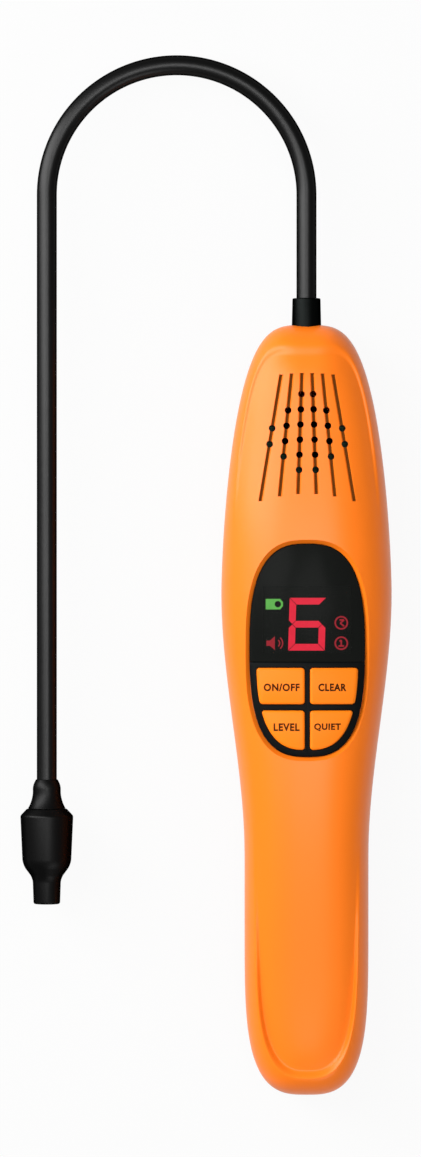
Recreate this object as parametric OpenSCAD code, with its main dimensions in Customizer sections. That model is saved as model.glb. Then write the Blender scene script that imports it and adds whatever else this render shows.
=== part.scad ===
// Hand-held refrigerant leak detector with a gooseneck probe, lying on its back.
// +Z is the front face, +Y points to the probe end and +X to the right of the keys.
// The origin is on the flat back, at the middle of the body's length.

/* [Body outline] */
// Length of the body
body_len = 220.5; // [205:0.5:240]
// Width across the head
head_w = 48.8; // [45:0.1:54]
// Width across the grip
grip_w = 35.5; // [34.5:0.1:40]
// Length of the rounded head end
head_end_len = 77; // [68:0.5:82]
// Length of the rounded grip end
grip_end_len = 50; // [44:0.5:56]
// Length over which the head narrows to the grip
waist_len = 75; // [60:1:84]

/* [Body section] */
// Height of the front at the display
crest_z = 31; // [29.5:0.1:35]
// Height of the front along the grip
grip_z = 27; // [26:0.1:30]
// Height of the front at the probe end
probe_end_z = 28.5; // [27.5:0.1:31]
// Height of the split between the two shells
split_z = 15; // [14:0.1:16]
// Thickness of the shells
wall = 2.2; // [1.8:0.1:2.6]
// Width of the rounded edge along the back
back_round = 8.5; // [7.5:0.1:9]
// Setback of the rear shell at the split, a shadow line
split_setback = 0.25; // [0.1:0.05:0.5]

/* [Front recesses] */
// Width of the rim along the sides
rim_w = 2.1; // [1.8:0.1:3]
// Extra width of the rim along the grip
rim_grip_w = 1.2; // [0.6:0.1:2]
// Width of the rim round the ends
rim_end_w = 5.2; // [4:0.1:6.5]
// Width of the step down from the rim along the sides
step_w = 1.4; // [1:0.1:2]
// Width of the step down from the rim at the ends
step_end_w = 2.6; // [1.6:0.1:3.5]
// Depth of the recess in the grip
grip_recess = 2.6; // [1.4:0.1:2.8]
// Depth of the recess round the grille
head_recess = 1.2; // [0.6:0.1:1.6]

/* [Control panel] */
// Width of the control panel
panel_w = 33; // [31:0.1:35]
// Length of the control panel
panel_len = 60.6; // [58:0.1:64]
// Place of the panel's centre along the body
panel_y = 17.2; // [15:0.1:20]
// Depth of the panel below the crest
panel_sink = 0.9; // [0.6:0.1:1.2]
// Thickness of the panel's window and key frame
panel_t = 1.6; // [1.4:0.1:2]
// Radius of the panel's crosswise bulge
bulge_r = 64; // [60:1:90]
// Width of the bevel round the panel
bezel_w = 1.1; // [0.6:0.1:1.5]
// Distance from the panel's centre down to the seam under the window
seam_drop = 3.3; // [2.5:0.1:4]

/* [Keys] */
// Distance from the panel's centre down to the cross between the keys
keys_drop = 16.2; // [15.8:0.1:17]
// Gap between the left and right keys
key_gap_x = 1.5; // [1.4:0.1:2.2]
// Gap between the upper and lower keys
key_gap_y = 1.8; // [1.5:0.1:2.4]
// Height of the upper keys
key_row_h = 10.3; // [9.5:0.1:10.8]
// Distance from the panel's edge to the keys
key_inset = 2; // [1.9:0.1:2.4]
// Radius of the keys' corners
key_corner_r = 0.9; // [0.4:0.1:1.4]
// Height of the keys above their frame
key_rise = 0.7; // [0.7:0.1:1.2]
// Travel of a key
key_travel = 0.6; // [0.3:0.1:0.6]

/* [Grille] */
// Grooves in the grille's fan
groove_count = 6; // [4:2:6]
// Angle between neighbouring grooves
groove_step = 3.75; // [3.4:0.05:4]
// Distance from the fan's apex to the grooves' upper ends
groove_start = 44.6; // [43:0.1:47]
// Length of the grooves
groove_len = 34.4; // [32:0.1:36]
// Width of a groove
groove_w = 1.4; // [1.1:0.1:1.6]
// Depth of a groove
groove_depth = 1.5; // [1:0.1:1.6]
// Diameter of a sound hole
hole_d = 1.95; // [1.4:0.05:2.2]
// Distance between the rows of holes
hole_pitch = 4.3; // [4:0.1:4.5]

/* [Gooseneck] */
// Diameter of the gooseneck
neck_d = 5.73; // [5.4:0.01:6.4]
// Radius of the gooseneck's bend, to its centre line
bend_r = 37.2; // [36:0.1:42]
// Straight length between the ferrule and the bend
neck_rise = 29.6; // [24:0.1:36]
// Straight length between the bend and the sensor head
neck_drop = 167.4; // [150:0.1:180]
// Diameter of the ferrule where it leaves the body
ferrule_d = 8.4; // [8:0.1:9.4]
// Length of the ferrule outside the body
ferrule_len = 7.6; // [6:0.1:10]

/* [Sensor head] */
// Diameter of the collar above the sensor cap
collar_d = 8; // [7.6:0.1:9]
// Length of the collar and its flare
collar_len = 8.3; // [7.6:0.1:10]
// Largest diameter of the sensor cap
cap_d = 15.15; // [14.6:0.05:17]
// Length of the cap's barrel, without its shoulders
cap_barrel_len = 13.6; // [13:0.1:16]
// Diameter of the nozzle
nozzle_d = 8; // [7.4:0.1:9]
// Length of the nozzle
nozzle_len = 6.6; // [5:0.1:9]

/* [Cells] */
// Diameter of a cell
cell_d = 14.2; // [13.8:0.1:14.3]
// Length of a cell with its nub
cell_len = 50.2; // [48:0.1:50.5]

/* [Hidden] */
$fn = 48;

shell_orange = "#f08a2c";
key_orange = "#f59a35";
satin_black = "#1b1b1d";
board_green = "#12382a";
bright_metal = "#c8c8c6";

// Small allowances
fit_gap = 0.1;
slide_gap = 0.2;
overlap = 0.01;
embed = 1;

// Body outline: three stretches from the grip's tip to the probe end
end_y = body_len / 2;
head_y = end_y - head_end_len;
grip_y = grip_end_len - end_y;
grip_steps = 13;
waist_steps = 10;
head_steps = 15;
side_steps = grip_steps + waist_steps + head_steps;
ring_n = 2 * side_steps;
grip_side_power = 3;
grip_end_power = 4;
head_side_power = 3.6;
head_end_power = 1.57;

// Section of the front: how the crown rises from the split
crown_in = 3;
crown_out = 2.2;
back_power = 2.4;

function clamp01(t) = max(0, min(1, t));
function smooth(t) = let (c = clamp01(t)) c * c * (3 - 2 * c);

function half_w(y) = head_w / 2 - (head_w - grip_w) / 2 * smooth((head_y - y) / waist_len);

function turn(i) =
    i <= grip_steps ? 90 * (1 - i / grip_steps)
    : i >= grip_steps + waist_steps ? 90 * (i - grip_steps - waist_steps) / head_steps
    : 0;

function waist_y(i) = grip_y + (head_y - grip_y) * (i - grip_steps) / waist_steps;

function reach(i) =
    i < grip_steps ? half_w(grip_y)
    : i > grip_steps + waist_steps ? head_w / 2
    : half_w(waist_y(i));

// Point i of the right side of the outline, moved inwards by d
function edge_point(i, d) =
    let (r = reach(i) - d, a = turn(i))
    i < grip_steps
        ? [r * pow(cos(a), 2 / grip_side_power),
           grip_y - (grip_end_len - d) * pow(sin(a), 2 / grip_end_power)]
    : i > grip_steps + waist_steps
        ? [r * pow(cos(a), 2 / head_side_power),
           head_y + (head_end_len - d) * pow(sin(a), 2 / head_end_power)]
    : [r, waist_y(i)];

// Heights of the front
grip_blend_len = 105;
grip_blend_start = -5;
end_blend_start = 50;
grip_fade_y = -24;
grip_fade_len = 85;
grip_rim_y = -20;
grip_rim_len = 70;
head_fade_y = 44;
head_fade_len = 36;

function crest(y) =
    crest_z
    - (crest_z - grip_z) * smooth((grip_blend_start - y) / grip_blend_len)
    - (crest_z - probe_end_z) * smooth((y - end_blend_start) / (end_y - end_blend_start));

function recess_depth(y) =
    grip_recess * smooth((grip_fade_y - y) / grip_fade_len)
    + head_recess * smooth((y - head_fade_y) / head_fade_len);

function crown(t) = pow(1 - pow(1 - clamp01(t), crown_in), 1 / crown_out);
// Share of the end sizes in the rim and the step: round the grip's tip, and on top of the head only
step_head_w = 4.6;
head_end_turn = 24;
function end_share(a, y) = pow(sin(a), y > 0 ? head_end_turn : 2);
function rim_of(a, y) =
    let (side = rim_w + rim_grip_w * smooth((grip_rim_y - y) / grip_rim_len))
    side + (rim_end_w - side) * end_share(a, y);
function step_of(a, y) = step_w + ((y > 0 ? step_head_w : step_end_w) - step_w) * end_share(a, y);

// Height of the front at inset d, for a stretch of half width r, turn a and place y
function front_height(d, r, a, y) =
    split_z + (crest(y) - split_z) * crown(d / r)
    - recess_depth(y) * smooth((d - rim_of(a, y)) / step_of(a, y));

function inner_height(d, r, a, y) =
    split_z + (crest(y) - split_z - wall) * crown((d - wall) / (r - wall))
    - recess_depth(y) * smooth((d - max(wall, rim_of(a, y) - wall / 2)) / step_of(a, y));

function back_height(d, deep, round_w) =
    deep * pow(1 - pow(1 - clamp01(d / round_w), back_power), 1 / back_power);

// Inset of a place on the head end, found by halving
function head_inset(x, y, low, high, n) =
    let (mid = (low + high) / 2,
         out = pow((y - head_y) / (head_end_len - mid), head_end_power)
             + pow(x / (head_w / 2 - mid), head_side_power) > 1)
    n == 0 ? mid : out ? head_inset(x, y, low, mid, n - 1) : head_inset(x, y, mid, high, n - 1);

function front_at(x, y) =
    y <= head_y
        ? front_height(half_w(y) - abs(x), half_w(y), 0, y)
        : let (d = head_inset(abs(x), y, 0, head_w / 2 - abs(x) - overlap, 24),
               s = min(1, pow((y - head_y) / (head_end_len - d), head_end_power / 2)))
          front_height(d, head_w / 2, asin(s), y);

// Top of a boss of radius r that ends inside the front wall
boss_skin = 0.6;
function boss_top(x, y, r) =
    min(front_at(x + r, y), front_at(x, y + r), front_at(x, y - r)) - boss_skin;

// Closed skin over a stack of rings. Each ring runs up the right side and down the left.
module ring_stack(rings) {
    n = len(rings[0]);
    half = n / 2;
    last = (len(rings) - 1) * n;
    polyhedron(
        points = [for (ring = rings) each ring],
        faces = concat(
            [for (k = [0 : len(rings) - 2]) for (j = [0 : n - 1])
                let (a = k * n + j, b = k * n + (j + 1) % n)
                each [[a, a + n, b + n], [a, b + n, b]]],
            [for (i = [0 : half - 1])
                let (b = i + 1, c = (n - i - 1) % n, d = (n - i) % n)
                each concat(b == c ? [] : [[i, b, c]], i == d ? [] : [[i, c, d]])],
            [for (i = [0 : half - 1])
                let (b = i + 1, c = (n - i - 1) % n, d = (n - i) % n)
                each concat(b == c ? [] : [[last + c, last + b, last + i]],
                            i == d ? [] : [[last + d, last + c, last + i]])]
        )
    );
}

function side_of(j) = j <= side_steps ? 1 : -1;
function step_at(j) = j <= side_steps ? j : ring_n - j;

// Rings of the front's outside: rim, step down and panel
front_rim_shares = [0, 0.03, 0.12, 0.3, 0.55, 0.8, 1];
front_step_shares = [0.35, 0.65, 1];
front_panel_shares = [0.25, 0.55, 0.8, 0.95];
function front_inset(i, k) =
    let (a = turn(i), rims = len(front_rim_shares), steps = len(front_step_shares),
         y = edge_point(i, rim_w)[1], rim = rim_of(a, y), fall = step_of(a, y), floor_d = rim + fall)
    k < rims ? rim * front_rim_shares[k]
    : k < rims + steps ? rim + fall * front_step_shares[k - rims]
    : floor_d + (reach(i) - floor_d) * front_panel_shares[k - rims - steps];
front_rings = len(front_rim_shares) + len(front_step_shares) + len(front_panel_shares);

inner_shares = [0, 0.02, 0.08, 0.2, 0.4, 0.68, 0.94];
function inner_inset(i, share) = wall + (reach(i) - wall) * share;

function front_ring(k) = [for (j = [0 : ring_n - 1])
    let (i = step_at(j), d = front_inset(i, k), p = edge_point(i, d))
    [side_of(j) * p[0], p[1], front_height(d, reach(i), turn(i), p[1])]];

function front_inner_ring(share) = [for (j = [0 : ring_n - 1])
    let (i = step_at(j), d = inner_inset(i, share), p = edge_point(i, d))
    [side_of(j) * p[0], p[1], inner_height(d, reach(i), turn(i), p[1])]];

// Rings of the back: the outside runs a little below the floor and is cut flat there
back_shares = [0, 0.02, 0.08, 0.2, 0.38, 0.6, 0.82, 1];
back_over = 0.6;
function back_ring(share) = [for (j = [0 : ring_n - 1])
    let (i = step_at(j), d = split_setback + share * back_round, p = edge_point(i, d))
    [side_of(j) * p[0], p[1], split_z - back_height(share * back_round, split_z + back_over, back_round)]];
function back_inner_ring(share) = [for (j = [0 : ring_n - 1])
    let (i = step_at(j), d = wall + share * back_round, p = edge_point(i, d))
    [side_of(j) * p[0], p[1], split_z - back_height(share * back_round, split_z - wall, back_round)]];

function reversed(list) = [for (k = [len(list) - 1 : -1 : 0]) list[k]];

module front_skin() {
    ring_stack(concat(
        [for (share = reversed(inner_shares)) front_inner_ring(share)],
        [for (k = [0 : front_rings - 1]) front_ring(k)]
    ));
}

module rear_skin() {
    difference() {
        ring_stack(concat(
            [for (share = reversed(back_shares)) back_ring(share)],
            [for (share = back_shares) back_inner_ring(share)]
        ));
        translate([-head_w, -body_len, -body_len])
            cube([2 * head_w, 2 * body_len, body_len]);
    }
}

// Control panel
panel_n = 64;
panel_power = 2.75;
panel_top = crest_z - panel_sink;
panel_under = panel_top - panel_t;
panel_ledge = 1;
panel_low = panel_y - panel_len / 2;
panel_high = panel_y + panel_len / 2;
seam_y = panel_y - seam_drop;
seam_gap = 0.15;
keys_y = panel_y - keys_drop;
bezel_depth = 1;
far = 60;

function signed_power(v, p) = sign(v) * pow(abs(v), p);
function panel_points(grow) = [for (k = [0 : panel_n - 1])
    let (a = 360 * k / panel_n - 90)
    [(panel_w / 2 + grow) * signed_power(cos(a), 2 / panel_power),
     panel_y + (panel_len / 2 + grow) * signed_power(sin(a), 2 / panel_power)]];

module panel_prism(grow, low = 0) {
    translate([0, 0, low]) linear_extrude(far) polygon(panel_points(grow));
}

// Cylinder along the body whose top is the panel's bulged face
module bulge(r) {
    translate([0, panel_y, panel_top - bulge_r]) rotate([90, 0, 0])
        cylinder(r = r, h = panel_len * 2, center = true, $fn = 128);
}

module panel_sheet() {
    difference() {
        bulge(bulge_r);
        bulge(bulge_r - panel_t);
    }
}

module panel_half(above, grow) {
    intersection() {
        panel_sheet();
        panel_prism(grow);
        translate([-far, above ? seam_y + seam_gap / 2 : seam_y - seam_gap / 2 - 2 * far, -far])
            cube([2 * far, 2 * far, 3 * far]);
    }
}

module panel_pocket() {
    difference() {
        panel_prism(0, split_z);
        bulge(bulge_r - panel_t);
    }
    panel_prism(-panel_ledge, split_z);
    ring_stack([
        [for (p = panel_points(0)) [p[0], p[1], front_at(p[0], p[1]) - bezel_depth]],
        [for (p = panel_points(bezel_w)) [p[0], p[1], front_at(p[0], p[1]) + overlap]],
        [for (p = panel_points(bezel_w)) [p[0], p[1], front_at(p[0], p[1]) + embed]]
    ]);
}

// Keys: quarter of the inset panel outline, with round corners
key_floor = 2.8;
key_base = panel_under - key_floor;
key_flange = 0.6;
stem_r = 1.7;
stem_len = 1.5;
board_t = 1.6;
module_h = 4.3;
display_gap = 2.1;
board_top = panel_under - display_gap - module_h;
board_under = board_top - board_t;
switch_top = key_base - key_travel - slide_gap;
switch_w = 6;
switch_clear = 0.6;
switch_well_r = stem_r + switch_clear;
key_x = 7.6;
upper_key_y = keys_y + key_gap_y / 2 + key_row_h / 2;
lower_stem_rise = 1;
lower_key_y = keys_y - key_gap_y / 2 - key_row_h / 2 + lower_stem_rise;

module key_outline(right, upper, grow) {
    offset(r = key_corner_r + grow, $fn = 32) offset(delta = -key_corner_r)
        intersection() {
            polygon(panel_points(-key_inset));
            translate([right ? key_gap_x / 2 : -key_gap_x / 2 - panel_w,
                       upper ? keys_y + key_gap_y / 2 : keys_y - key_gap_y / 2 - panel_len])
                square(upper ? [panel_w, key_row_h] : [panel_w, panel_len]);
        }
}

module key(right, upper) {
    intersection() {
        translate([0, 0, key_base]) linear_extrude(far) key_outline(right, upper, 0);
        bulge(bulge_r + key_rise);
    }
    intersection() {
        translate([0, 0, key_base]) linear_extrude(far) key_outline(right, upper, key_flange);
        bulge(bulge_r - panel_t - slide_gap);
    }
    translate([right ? key_x : -key_x, upper ? upper_key_y : lower_key_y, key_base - stem_len])
        cylinder(r = stem_r, h = stem_len + embed);
}

module at_keys() {
    for (right = [false, true], upper = [false, true])
        translate([right ? key_x : -key_x, upper ? upper_key_y : lower_key_y, 0]) children();
}

// Grille
apex_rise = 30.4;
apex_y = end_y + apex_rise;
fan_stations = 7;
hole_rows = 6;
first_hole = 6;
// The outer grooves start and end lower than the inner ones
fan_top_drop = 1;
fan_low_drop = 3.2;
function fan_angle(i) = groove_step * (i - (groove_count - 1) / 2);
function fan_side(i) = pow(2 * i / (groove_count - 1) - 1, 2);
function fan_r(i, share) =
    groove_start + fan_top_drop * fan_side(i)
    + (groove_len + (fan_low_drop - fan_top_drop) * fan_side(i)) * share;
function fan_x(i, r) = r * sin(fan_angle(i));
function fan_y(i, r) = apex_y - r * cos(fan_angle(i));

// Groove with bevelled lips over a narrow slot
slot_half = 0.4;
lip_depth = 0.45;
module groove(i) {
    half = groove_w / 2;
    section = [[slot_half, -groove_depth], [slot_half, -lip_depth], [half, 0], [half, embed],
               [-half, embed], [-half, 0], [-slot_half, -lip_depth], [-slot_half, -groove_depth]];
    n = len(section);
    rows = [for (s = [0 : fan_stations])
        let (r = fan_r(i, s / fan_stations),
             x = fan_x(i, r), y = fan_y(i, r), z = front_at(x, y))
        [for (p = section) [x + p[0], y, z + p[1]]]];
    polyhedron(
        points = [for (row = rows) each row],
        faces = concat(
            [for (s = [0 : fan_stations - 1]) for (j = [0 : n - 1])
                let (a = s * n + j, b = s * n + (j + 1) % n)
                each [[a, b + n, b], [a, a + n, b + n]]],
            [for (j = [0 : n / 2 - 2]) each [[j + 1, n - 2 - j, n - 1 - j], [j, j + 1, n - 1 - j]]],
            [for (j = [0 : n / 2 - 2]) let (e = fan_stations * n)
                each [[e + n - 2 - j, e + j + 1, e + j], [e + n - 1 - j, e + n - 2 - j, e + j]]]
        )
    );
}

// Rows of holes are shorter towards the fan's sides, so that they form a round field
function rows_cut(i) = abs(i - (groove_count - 1) / 2) - 0.5;

module sound_holes() {
    for (i = [0 : groove_count - 1])
        for (row = [rows_cut(i) : hole_rows - 1 - rows_cut(i)]) {
            r = fan_r(i, (first_hole + row * hole_pitch) / groove_len);
            translate([fan_x(i, r), fan_y(i, r), split_z + wall])
                cylinder(d = hole_d, h = far, $fn = 24);
        }
}

// Probe exit
ferrule_r = ferrule_d / 2;
flange_w = 2;
flange_r = ferrule_r + flange_w;
flange_t = 2.3;
neck_rib_t = 1.6;
neck_rib_half = 6.5;
neck_rib_reach = 6.5;
back_rib_reach = 8.5;
back_rib_gap = 2.5;
rib_setback = 3.4;
outer_rib_y = end_y - rib_setback;
flange_y = outer_rib_y - neck_rib_t - fit_gap;
inner_rib_y = flange_y - flange_t - fit_gap;

module along_y(x, y, z) {
    translate([x, y, z]) rotate([-90, 0, 0]) children();
}

module neck_bore() {
    along_y(0, inner_rib_y - 2 * neck_rib_t, split_z) cylinder(r = ferrule_r + fit_gap, h = far);
}

module front_neck_ribs() {
    for (y = [outer_rib_y, inner_rib_y])
        translate([-neck_rib_half, y - neck_rib_t, split_z])
            cube([2 * neck_rib_half, neck_rib_t, y == outer_rib_y ? neck_rib_reach : back_rib_reach]);
}

module back_neck_ribs() {
    for (y = [outer_rib_y, inner_rib_y])
        let (foot = y == outer_rib_y ? wall + back_rib_gap : wall - embed)
            translate([-neck_rib_half, y - neck_rib_t, foot])
                cube([2 * neck_rib_half, neck_rib_t, split_z - foot]);
}

// Case screws from the back: two beside the probe exit and two below the keys
case_boss_r = 3;
case_screw_r = 1.45;
case_head_r = 2.6;
case_head_h = 1.8;
case_head_z = 6;
case_screw_top = 6.5;
case_high_x = 9;
case_high_drop = 19.5;
case_low_x = 8.5;
case_low_drop = 12.5;
case_places = [[case_high_x, end_y - case_high_drop], [case_low_x, panel_low - case_low_drop]];

module at_case_screws() {
    for (p = case_places, s = [-1, 1]) translate([s * p[0], p[1], 0]) children();
}

// Board and its screws
board_inset = 6.5;
board_low_drop = 8;
board_high_drop = 26;
board_low = panel_low - board_low_drop;
board_high = end_y - board_high_drop;
board_screw_r = 1.1;
board_head_r = 2.1;
board_head_h = 1.5;
board_boss_r = 2.4;
board_screw_len = 3.2;
board_high_x = 12.5;
board_high_rise = 7.5;
board_low_x = 9.5;
board_screw_drop = 4;
board_places = [[board_high_x, panel_high + board_high_rise], [board_low_x, panel_low - board_screw_drop]];

module at_board_screws() {
    for (p = board_places, s = [-1, 1]) translate([s * p[0], p[1], 0]) children();
}

// Cells lie side by side in the grip, held by a tray that hangs from the front shell
cell_gap = 0.8;
cell_r = cell_d / 2;
cell_x = cell_r + fit_gap;
cell_z = wall + cell_gap + cell_r;
nub_r = 2.6;
nub_len = 1.2;
tray_t = 1.5;
tray_under = cell_z + cell_r + slide_gap;
tray_top = tray_under + tray_t;
tray_side_cut = 1.3;
tray_wall_cut = 1.5;
tray_half = cell_x + cell_r - tray_side_cut;
tray_wall_half = tray_half - tray_wall_cut;
contact_t = 0.4;
spring_len = 4;
bay_drop = 18;
bay_high = panel_low - bay_drop;
bay_low = bay_high - cell_len - spring_len - 2 * contact_t;
tray_wall_gap = 4;
tray_wall_low = wall + tray_wall_gap;
tray_screw_in = 8;
tray_places = [bay_high - tray_screw_in, bay_low + tray_screw_in];
tray_boss_r = 2.4;
tray_screw_len = 3;

module at_tray_screws() {
    for (y = tray_places) translate([0, y, 0]) children();
}

// Battery door: a dovetailed piece of the back that slides off over the grip's end
door_lap = 2;
door_y = bay_high + door_lap;
door_drop = 3;
door_top = split_z - door_drop;
door_half_low = 13.6;
door_half_top = 15.6;
thumb_grooves = 5;
thumb_pitch = 3;
thumb_r = 0.7;
thumb_len = 14;
thumb_drop = 10;
tongue_side = 3.4;
tongue_w = 2 * (cell_x - tongue_side);
tongue_len = 4;
tongue_root = 2;
tongue_t = 1.2;

module door_prism(grow) {
    along_y(0, -body_len, 0) linear_extrude(door_y + body_len + grow)
        polygon([[-door_half_low - grow, embed], [door_half_low + grow, embed],
                 [door_half_top + grow, -door_top - grow], [-door_half_top - grow, -door_top - grow]]);
}

module front_shell() {
    color(shell_orange) difference() {
        union() {
            front_skin();
            front_neck_ribs();
            for (p = case_places, s = [-1, 1]) translate([s * p[0], p[1], split_z])
                cylinder(r = case_boss_r, h = boss_top(p[0], p[1], case_boss_r) - split_z);
            for (p = board_places, s = [-1, 1]) translate([s * p[0], p[1], board_top])
                cylinder(r = board_boss_r, h = boss_top(p[0], p[1], board_boss_r) - board_top);
            for (y = tray_places) translate([0, y, tray_top])
                cylinder(r = tray_boss_r, h = boss_top(0, y, tray_boss_r) - tray_top);
        }
        panel_pocket();
        for (i = [0 : groove_count - 1]) groove(i);
        sound_holes();
        neck_bore();
        at_case_screws() translate([0, 0, split_z - embed])
            cylinder(r = case_screw_r + fit_gap / 2, h = case_screw_top + 2 * embed);
        at_board_screws() translate([0, 0, board_top - embed])
            cylinder(r = board_screw_r + fit_gap / 2, h = board_screw_len + embed);
        at_tray_screws() translate([0, 0, tray_top - embed])
            cylinder(r = board_screw_r + fit_gap / 2, h = tray_screw_len + embed);
    }
}

module rear_shell() {
    color(shell_orange) difference() {
        union() {
            rear_skin();
            back_neck_ribs();
            at_case_screws() translate([0, 0, wall - embed])
                cylinder(r = case_boss_r, h = split_z - wall + embed);
        }
        door_prism(slide_gap);
        neck_bore();
        at_case_screws() {
            translate([0, 0, -embed]) cylinder(r = case_head_r + slide_gap, h = case_head_z + embed);
            cylinder(r = case_screw_r + fit_gap, h = split_z + embed);
        }
    }
}

module battery_door() {
    color(shell_orange) difference() {
        union() {
            intersection() {
                rear_skin();
                door_prism(0);
            }
            translate([-tongue_w / 2, door_y - tongue_root, wall - embed])
                cube([tongue_w, tongue_root, tongue_t + embed + slide_gap]);
            translate([-tongue_w / 2, door_y - tongue_root, wall + slide_gap])
                cube([tongue_w, tongue_root + tongue_len, tongue_t]);
        }
        for (k = [0 : thumb_grooves - 1])
            translate([0, door_y - thumb_drop - k * thumb_pitch, 0]) rotate([0, 90, 0])
                cylinder(r = thumb_r, h = thumb_len, center = true, $fn = 24);
    }
}

module display_lens() {
    color("#141416") panel_half(true, -fit_gap);
}

module key_frame() {
    color(satin_black) difference() {
        panel_half(false, -fit_gap);
        for (right = [false, true], upper = [false, true])
            linear_extrude(far) key_outline(right, upper, slide_gap);
    }
}

module button_power() { color(key_orange) key(false, true); }
module button_reset() { color(key_orange) key(true, true); }
module button_sens() { color(key_orange) key(false, false); }
module button_mute() { color(key_orange) key(true, false); }

module main_board() {
    color(board_green) difference() {
        translate([0, 0, board_under]) linear_extrude(board_t) intersection() {
            polygon([for (j = [0 : ring_n - 1])
                let (p = edge_point(step_at(j), board_inset)) [side_of(j) * p[0], p[1]]]);
            translate([-head_w, board_low]) square([2 * head_w, board_high - board_low]);
        }
        at_board_screws() translate([0, 0, board_under - embed])
            cylinder(r = board_screw_r + slide_gap, h = board_t + 2 * embed);
    }
}

// Display: a black block whose lit figures lie on its face
module_half = 13.5;
module_rise = 1.8;
module_len = 20.5;
module_low = seam_y + module_rise;
module_high = module_low + module_len;
module_top = board_top + module_h;
lit_t = 0.25;
digit_w = 10.4;
digit_h = 15;
digit_rise = 7.4;
digit_y = panel_y + digit_rise;
digit_slant = 0.03;
stroke = 1.9;
stroke_gap = 0.1;
icon_left = -9.3;
icon_right = 9.7;
icon_low_rise = 2;
icon_mid_rise = 7.8;
icon_high_rise = 13.1;

module display_module() {
    color("#101012") translate([-module_half, module_low, board_top])
        cube([2 * module_half, module_high - module_low, module_h]);
}

// Strokes of the figure for its upper left quarter; the others are mirrored
half_dw = digit_w / 2;
half_dh = digit_h / 2;
level_stroke = [[stroke_gap - half_dw, half_dh], [half_dw - stroke_gap, half_dh],
    [half_dw - stroke - stroke_gap, half_dh - stroke], [stroke + stroke_gap - half_dw, half_dh - stroke]];
upright_stroke = [[-half_dw, half_dh - stroke_gap], [stroke - half_dw, half_dh - stroke - stroke_gap],
    [stroke - half_dw, stroke / 2 + stroke_gap], [stroke / 2 - half_dw, stroke_gap],
    [-half_dw, stroke / 2 + stroke_gap]];
middle_stroke = [[stroke / 2 + stroke_gap - half_dw, 0], [stroke + stroke_gap - half_dw, stroke / 2],
    [half_dw - stroke - stroke_gap, stroke / 2], [half_dw - stroke / 2 - stroke_gap, 0],
    [half_dw - stroke - stroke_gap, -stroke / 2], [stroke + stroke_gap - half_dw, -stroke / 2]];

module lit_stroke(points, flip_x, flip_y) {
    polygon([for (p = points) [flip_x * p[0] + digit_slant * flip_y * p[1], flip_y * p[1]]]);
}

module lit_segments() {
    color("#e02a3c") translate([0, digit_y, module_top]) linear_extrude(lit_t) {
        lit_stroke(level_stroke, 1, 1);
        lit_stroke(level_stroke, 1, -1);
        lit_stroke(middle_stroke, 1, 1);
        lit_stroke(upright_stroke, 1, 1);
        lit_stroke(upright_stroke, 1, -1);
        lit_stroke(upright_stroke, -1, -1);
    }
}

// Signs beside the figure, each drawn about its own centre
icon_ring_r = 1.95;
icon_line = 0.45;
speaker_horn = [[-2.3, -0.75], [-1.3, -0.75], [0.1, -1.95], [0.1, 1.95], [-1.3, 0.75], [-2.3, 0.75]];
battery_face = [[-2.5, -1.5], [1.6, -1.5], [2.4, -0.6], [2.4, 0.6], [1.6, 1.5], [-2.5, 1.5]];
battery_empty = [0.95, 0.9];
wave_x = 0.3;
wave_r = 1.9;
wave_turn = 50;
sign_post_half = 0.25;
sign_post_reach = 1;

module ring_icon() {
    difference() {
        circle(icon_ring_r);
        circle(icon_ring_r - icon_line);
    }
}

module sound_wave() {
    intersection() {
        difference() {
            circle(wave_r);
            circle(wave_r - icon_line);
        }
        polygon([[0, 0], [2 * wave_r, -2 * wave_r * tan(wave_turn)], [2 * wave_r, 2 * wave_r * tan(wave_turn)]]);
    }
}

module lit_icons() {
    color("#c8303e") translate([0, panel_y, module_top]) linear_extrude(lit_t) {
        for (rise = [icon_low_rise, icon_mid_rise]) translate([icon_right, rise]) {
            ring_icon();
            translate([-sign_post_half, -sign_post_reach]) square([2 * sign_post_half, 2 * sign_post_reach]);
        }
        translate([icon_left, icon_low_rise]) {
            polygon(speaker_horn);
            translate([wave_x, 0]) sound_wave();
        }
    }
}

module battery_icon() {
    color("#63b254") translate([icon_left, panel_y + icon_high_rise, module_top]) linear_extrude(lit_t)
        difference() {
            polygon(battery_face);
            translate([battery_empty[0], 0]) circle(battery_empty[1]);
        }
}

module key_switches() {
    color("#2c2c2e") at_keys() difference() {
        translate([-switch_w / 2, -switch_w / 2, board_top])
            cube([switch_w, switch_w, switch_top - board_top]);
        translate([0, 0, key_base - stem_len - key_travel - slide_gap])
            cylinder(r = switch_well_r, h = far);
    }
}

sounder_r = 8.5;
sounder_h = 2.8;
sounder_y = apex_y - groove_start - first_hole - hole_pitch * (hole_rows - 1) / 2;
sounder_mouth_r = 1.5;
module sounder() {
    color("#222224") translate([0, sounder_y, board_top]) difference() {
        cylinder(r = sounder_r, h = sounder_h);
        translate([0, 0, sounder_h / 2]) cylinder(r = sounder_mouth_r, h = sounder_h);
    }
}

chip_w = 10;
chip_t = 1.4;
module controller_chip() {
    color("#202022") translate([-chip_w / 2, panel_y + chip_w, board_under - chip_t])
        cube([chip_w, chip_w, chip_t]);
}

socket_half = 4;
socket_len = 8;
socket_setback = 14;
socket_drop = 1.6;
socket_y = board_high - socket_setback;
socket_low = split_z - socket_drop;
lead_r = 1.1;
neck_tail = 1.5;
neck_inner_y = inner_rib_y - neck_rib_t - neck_tail;
module sensor_connector() {
    color("#e8e4d8") translate([-socket_half, socket_y, socket_low])
        cube([2 * socket_half, socket_len, board_under - socket_low]);
}

module sensor_lead() {
    color("#303032") along_y(0, socket_y + socket_len, split_z)
        cylinder(r = lead_r, h = neck_inner_y - socket_y - socket_len);
}

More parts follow.
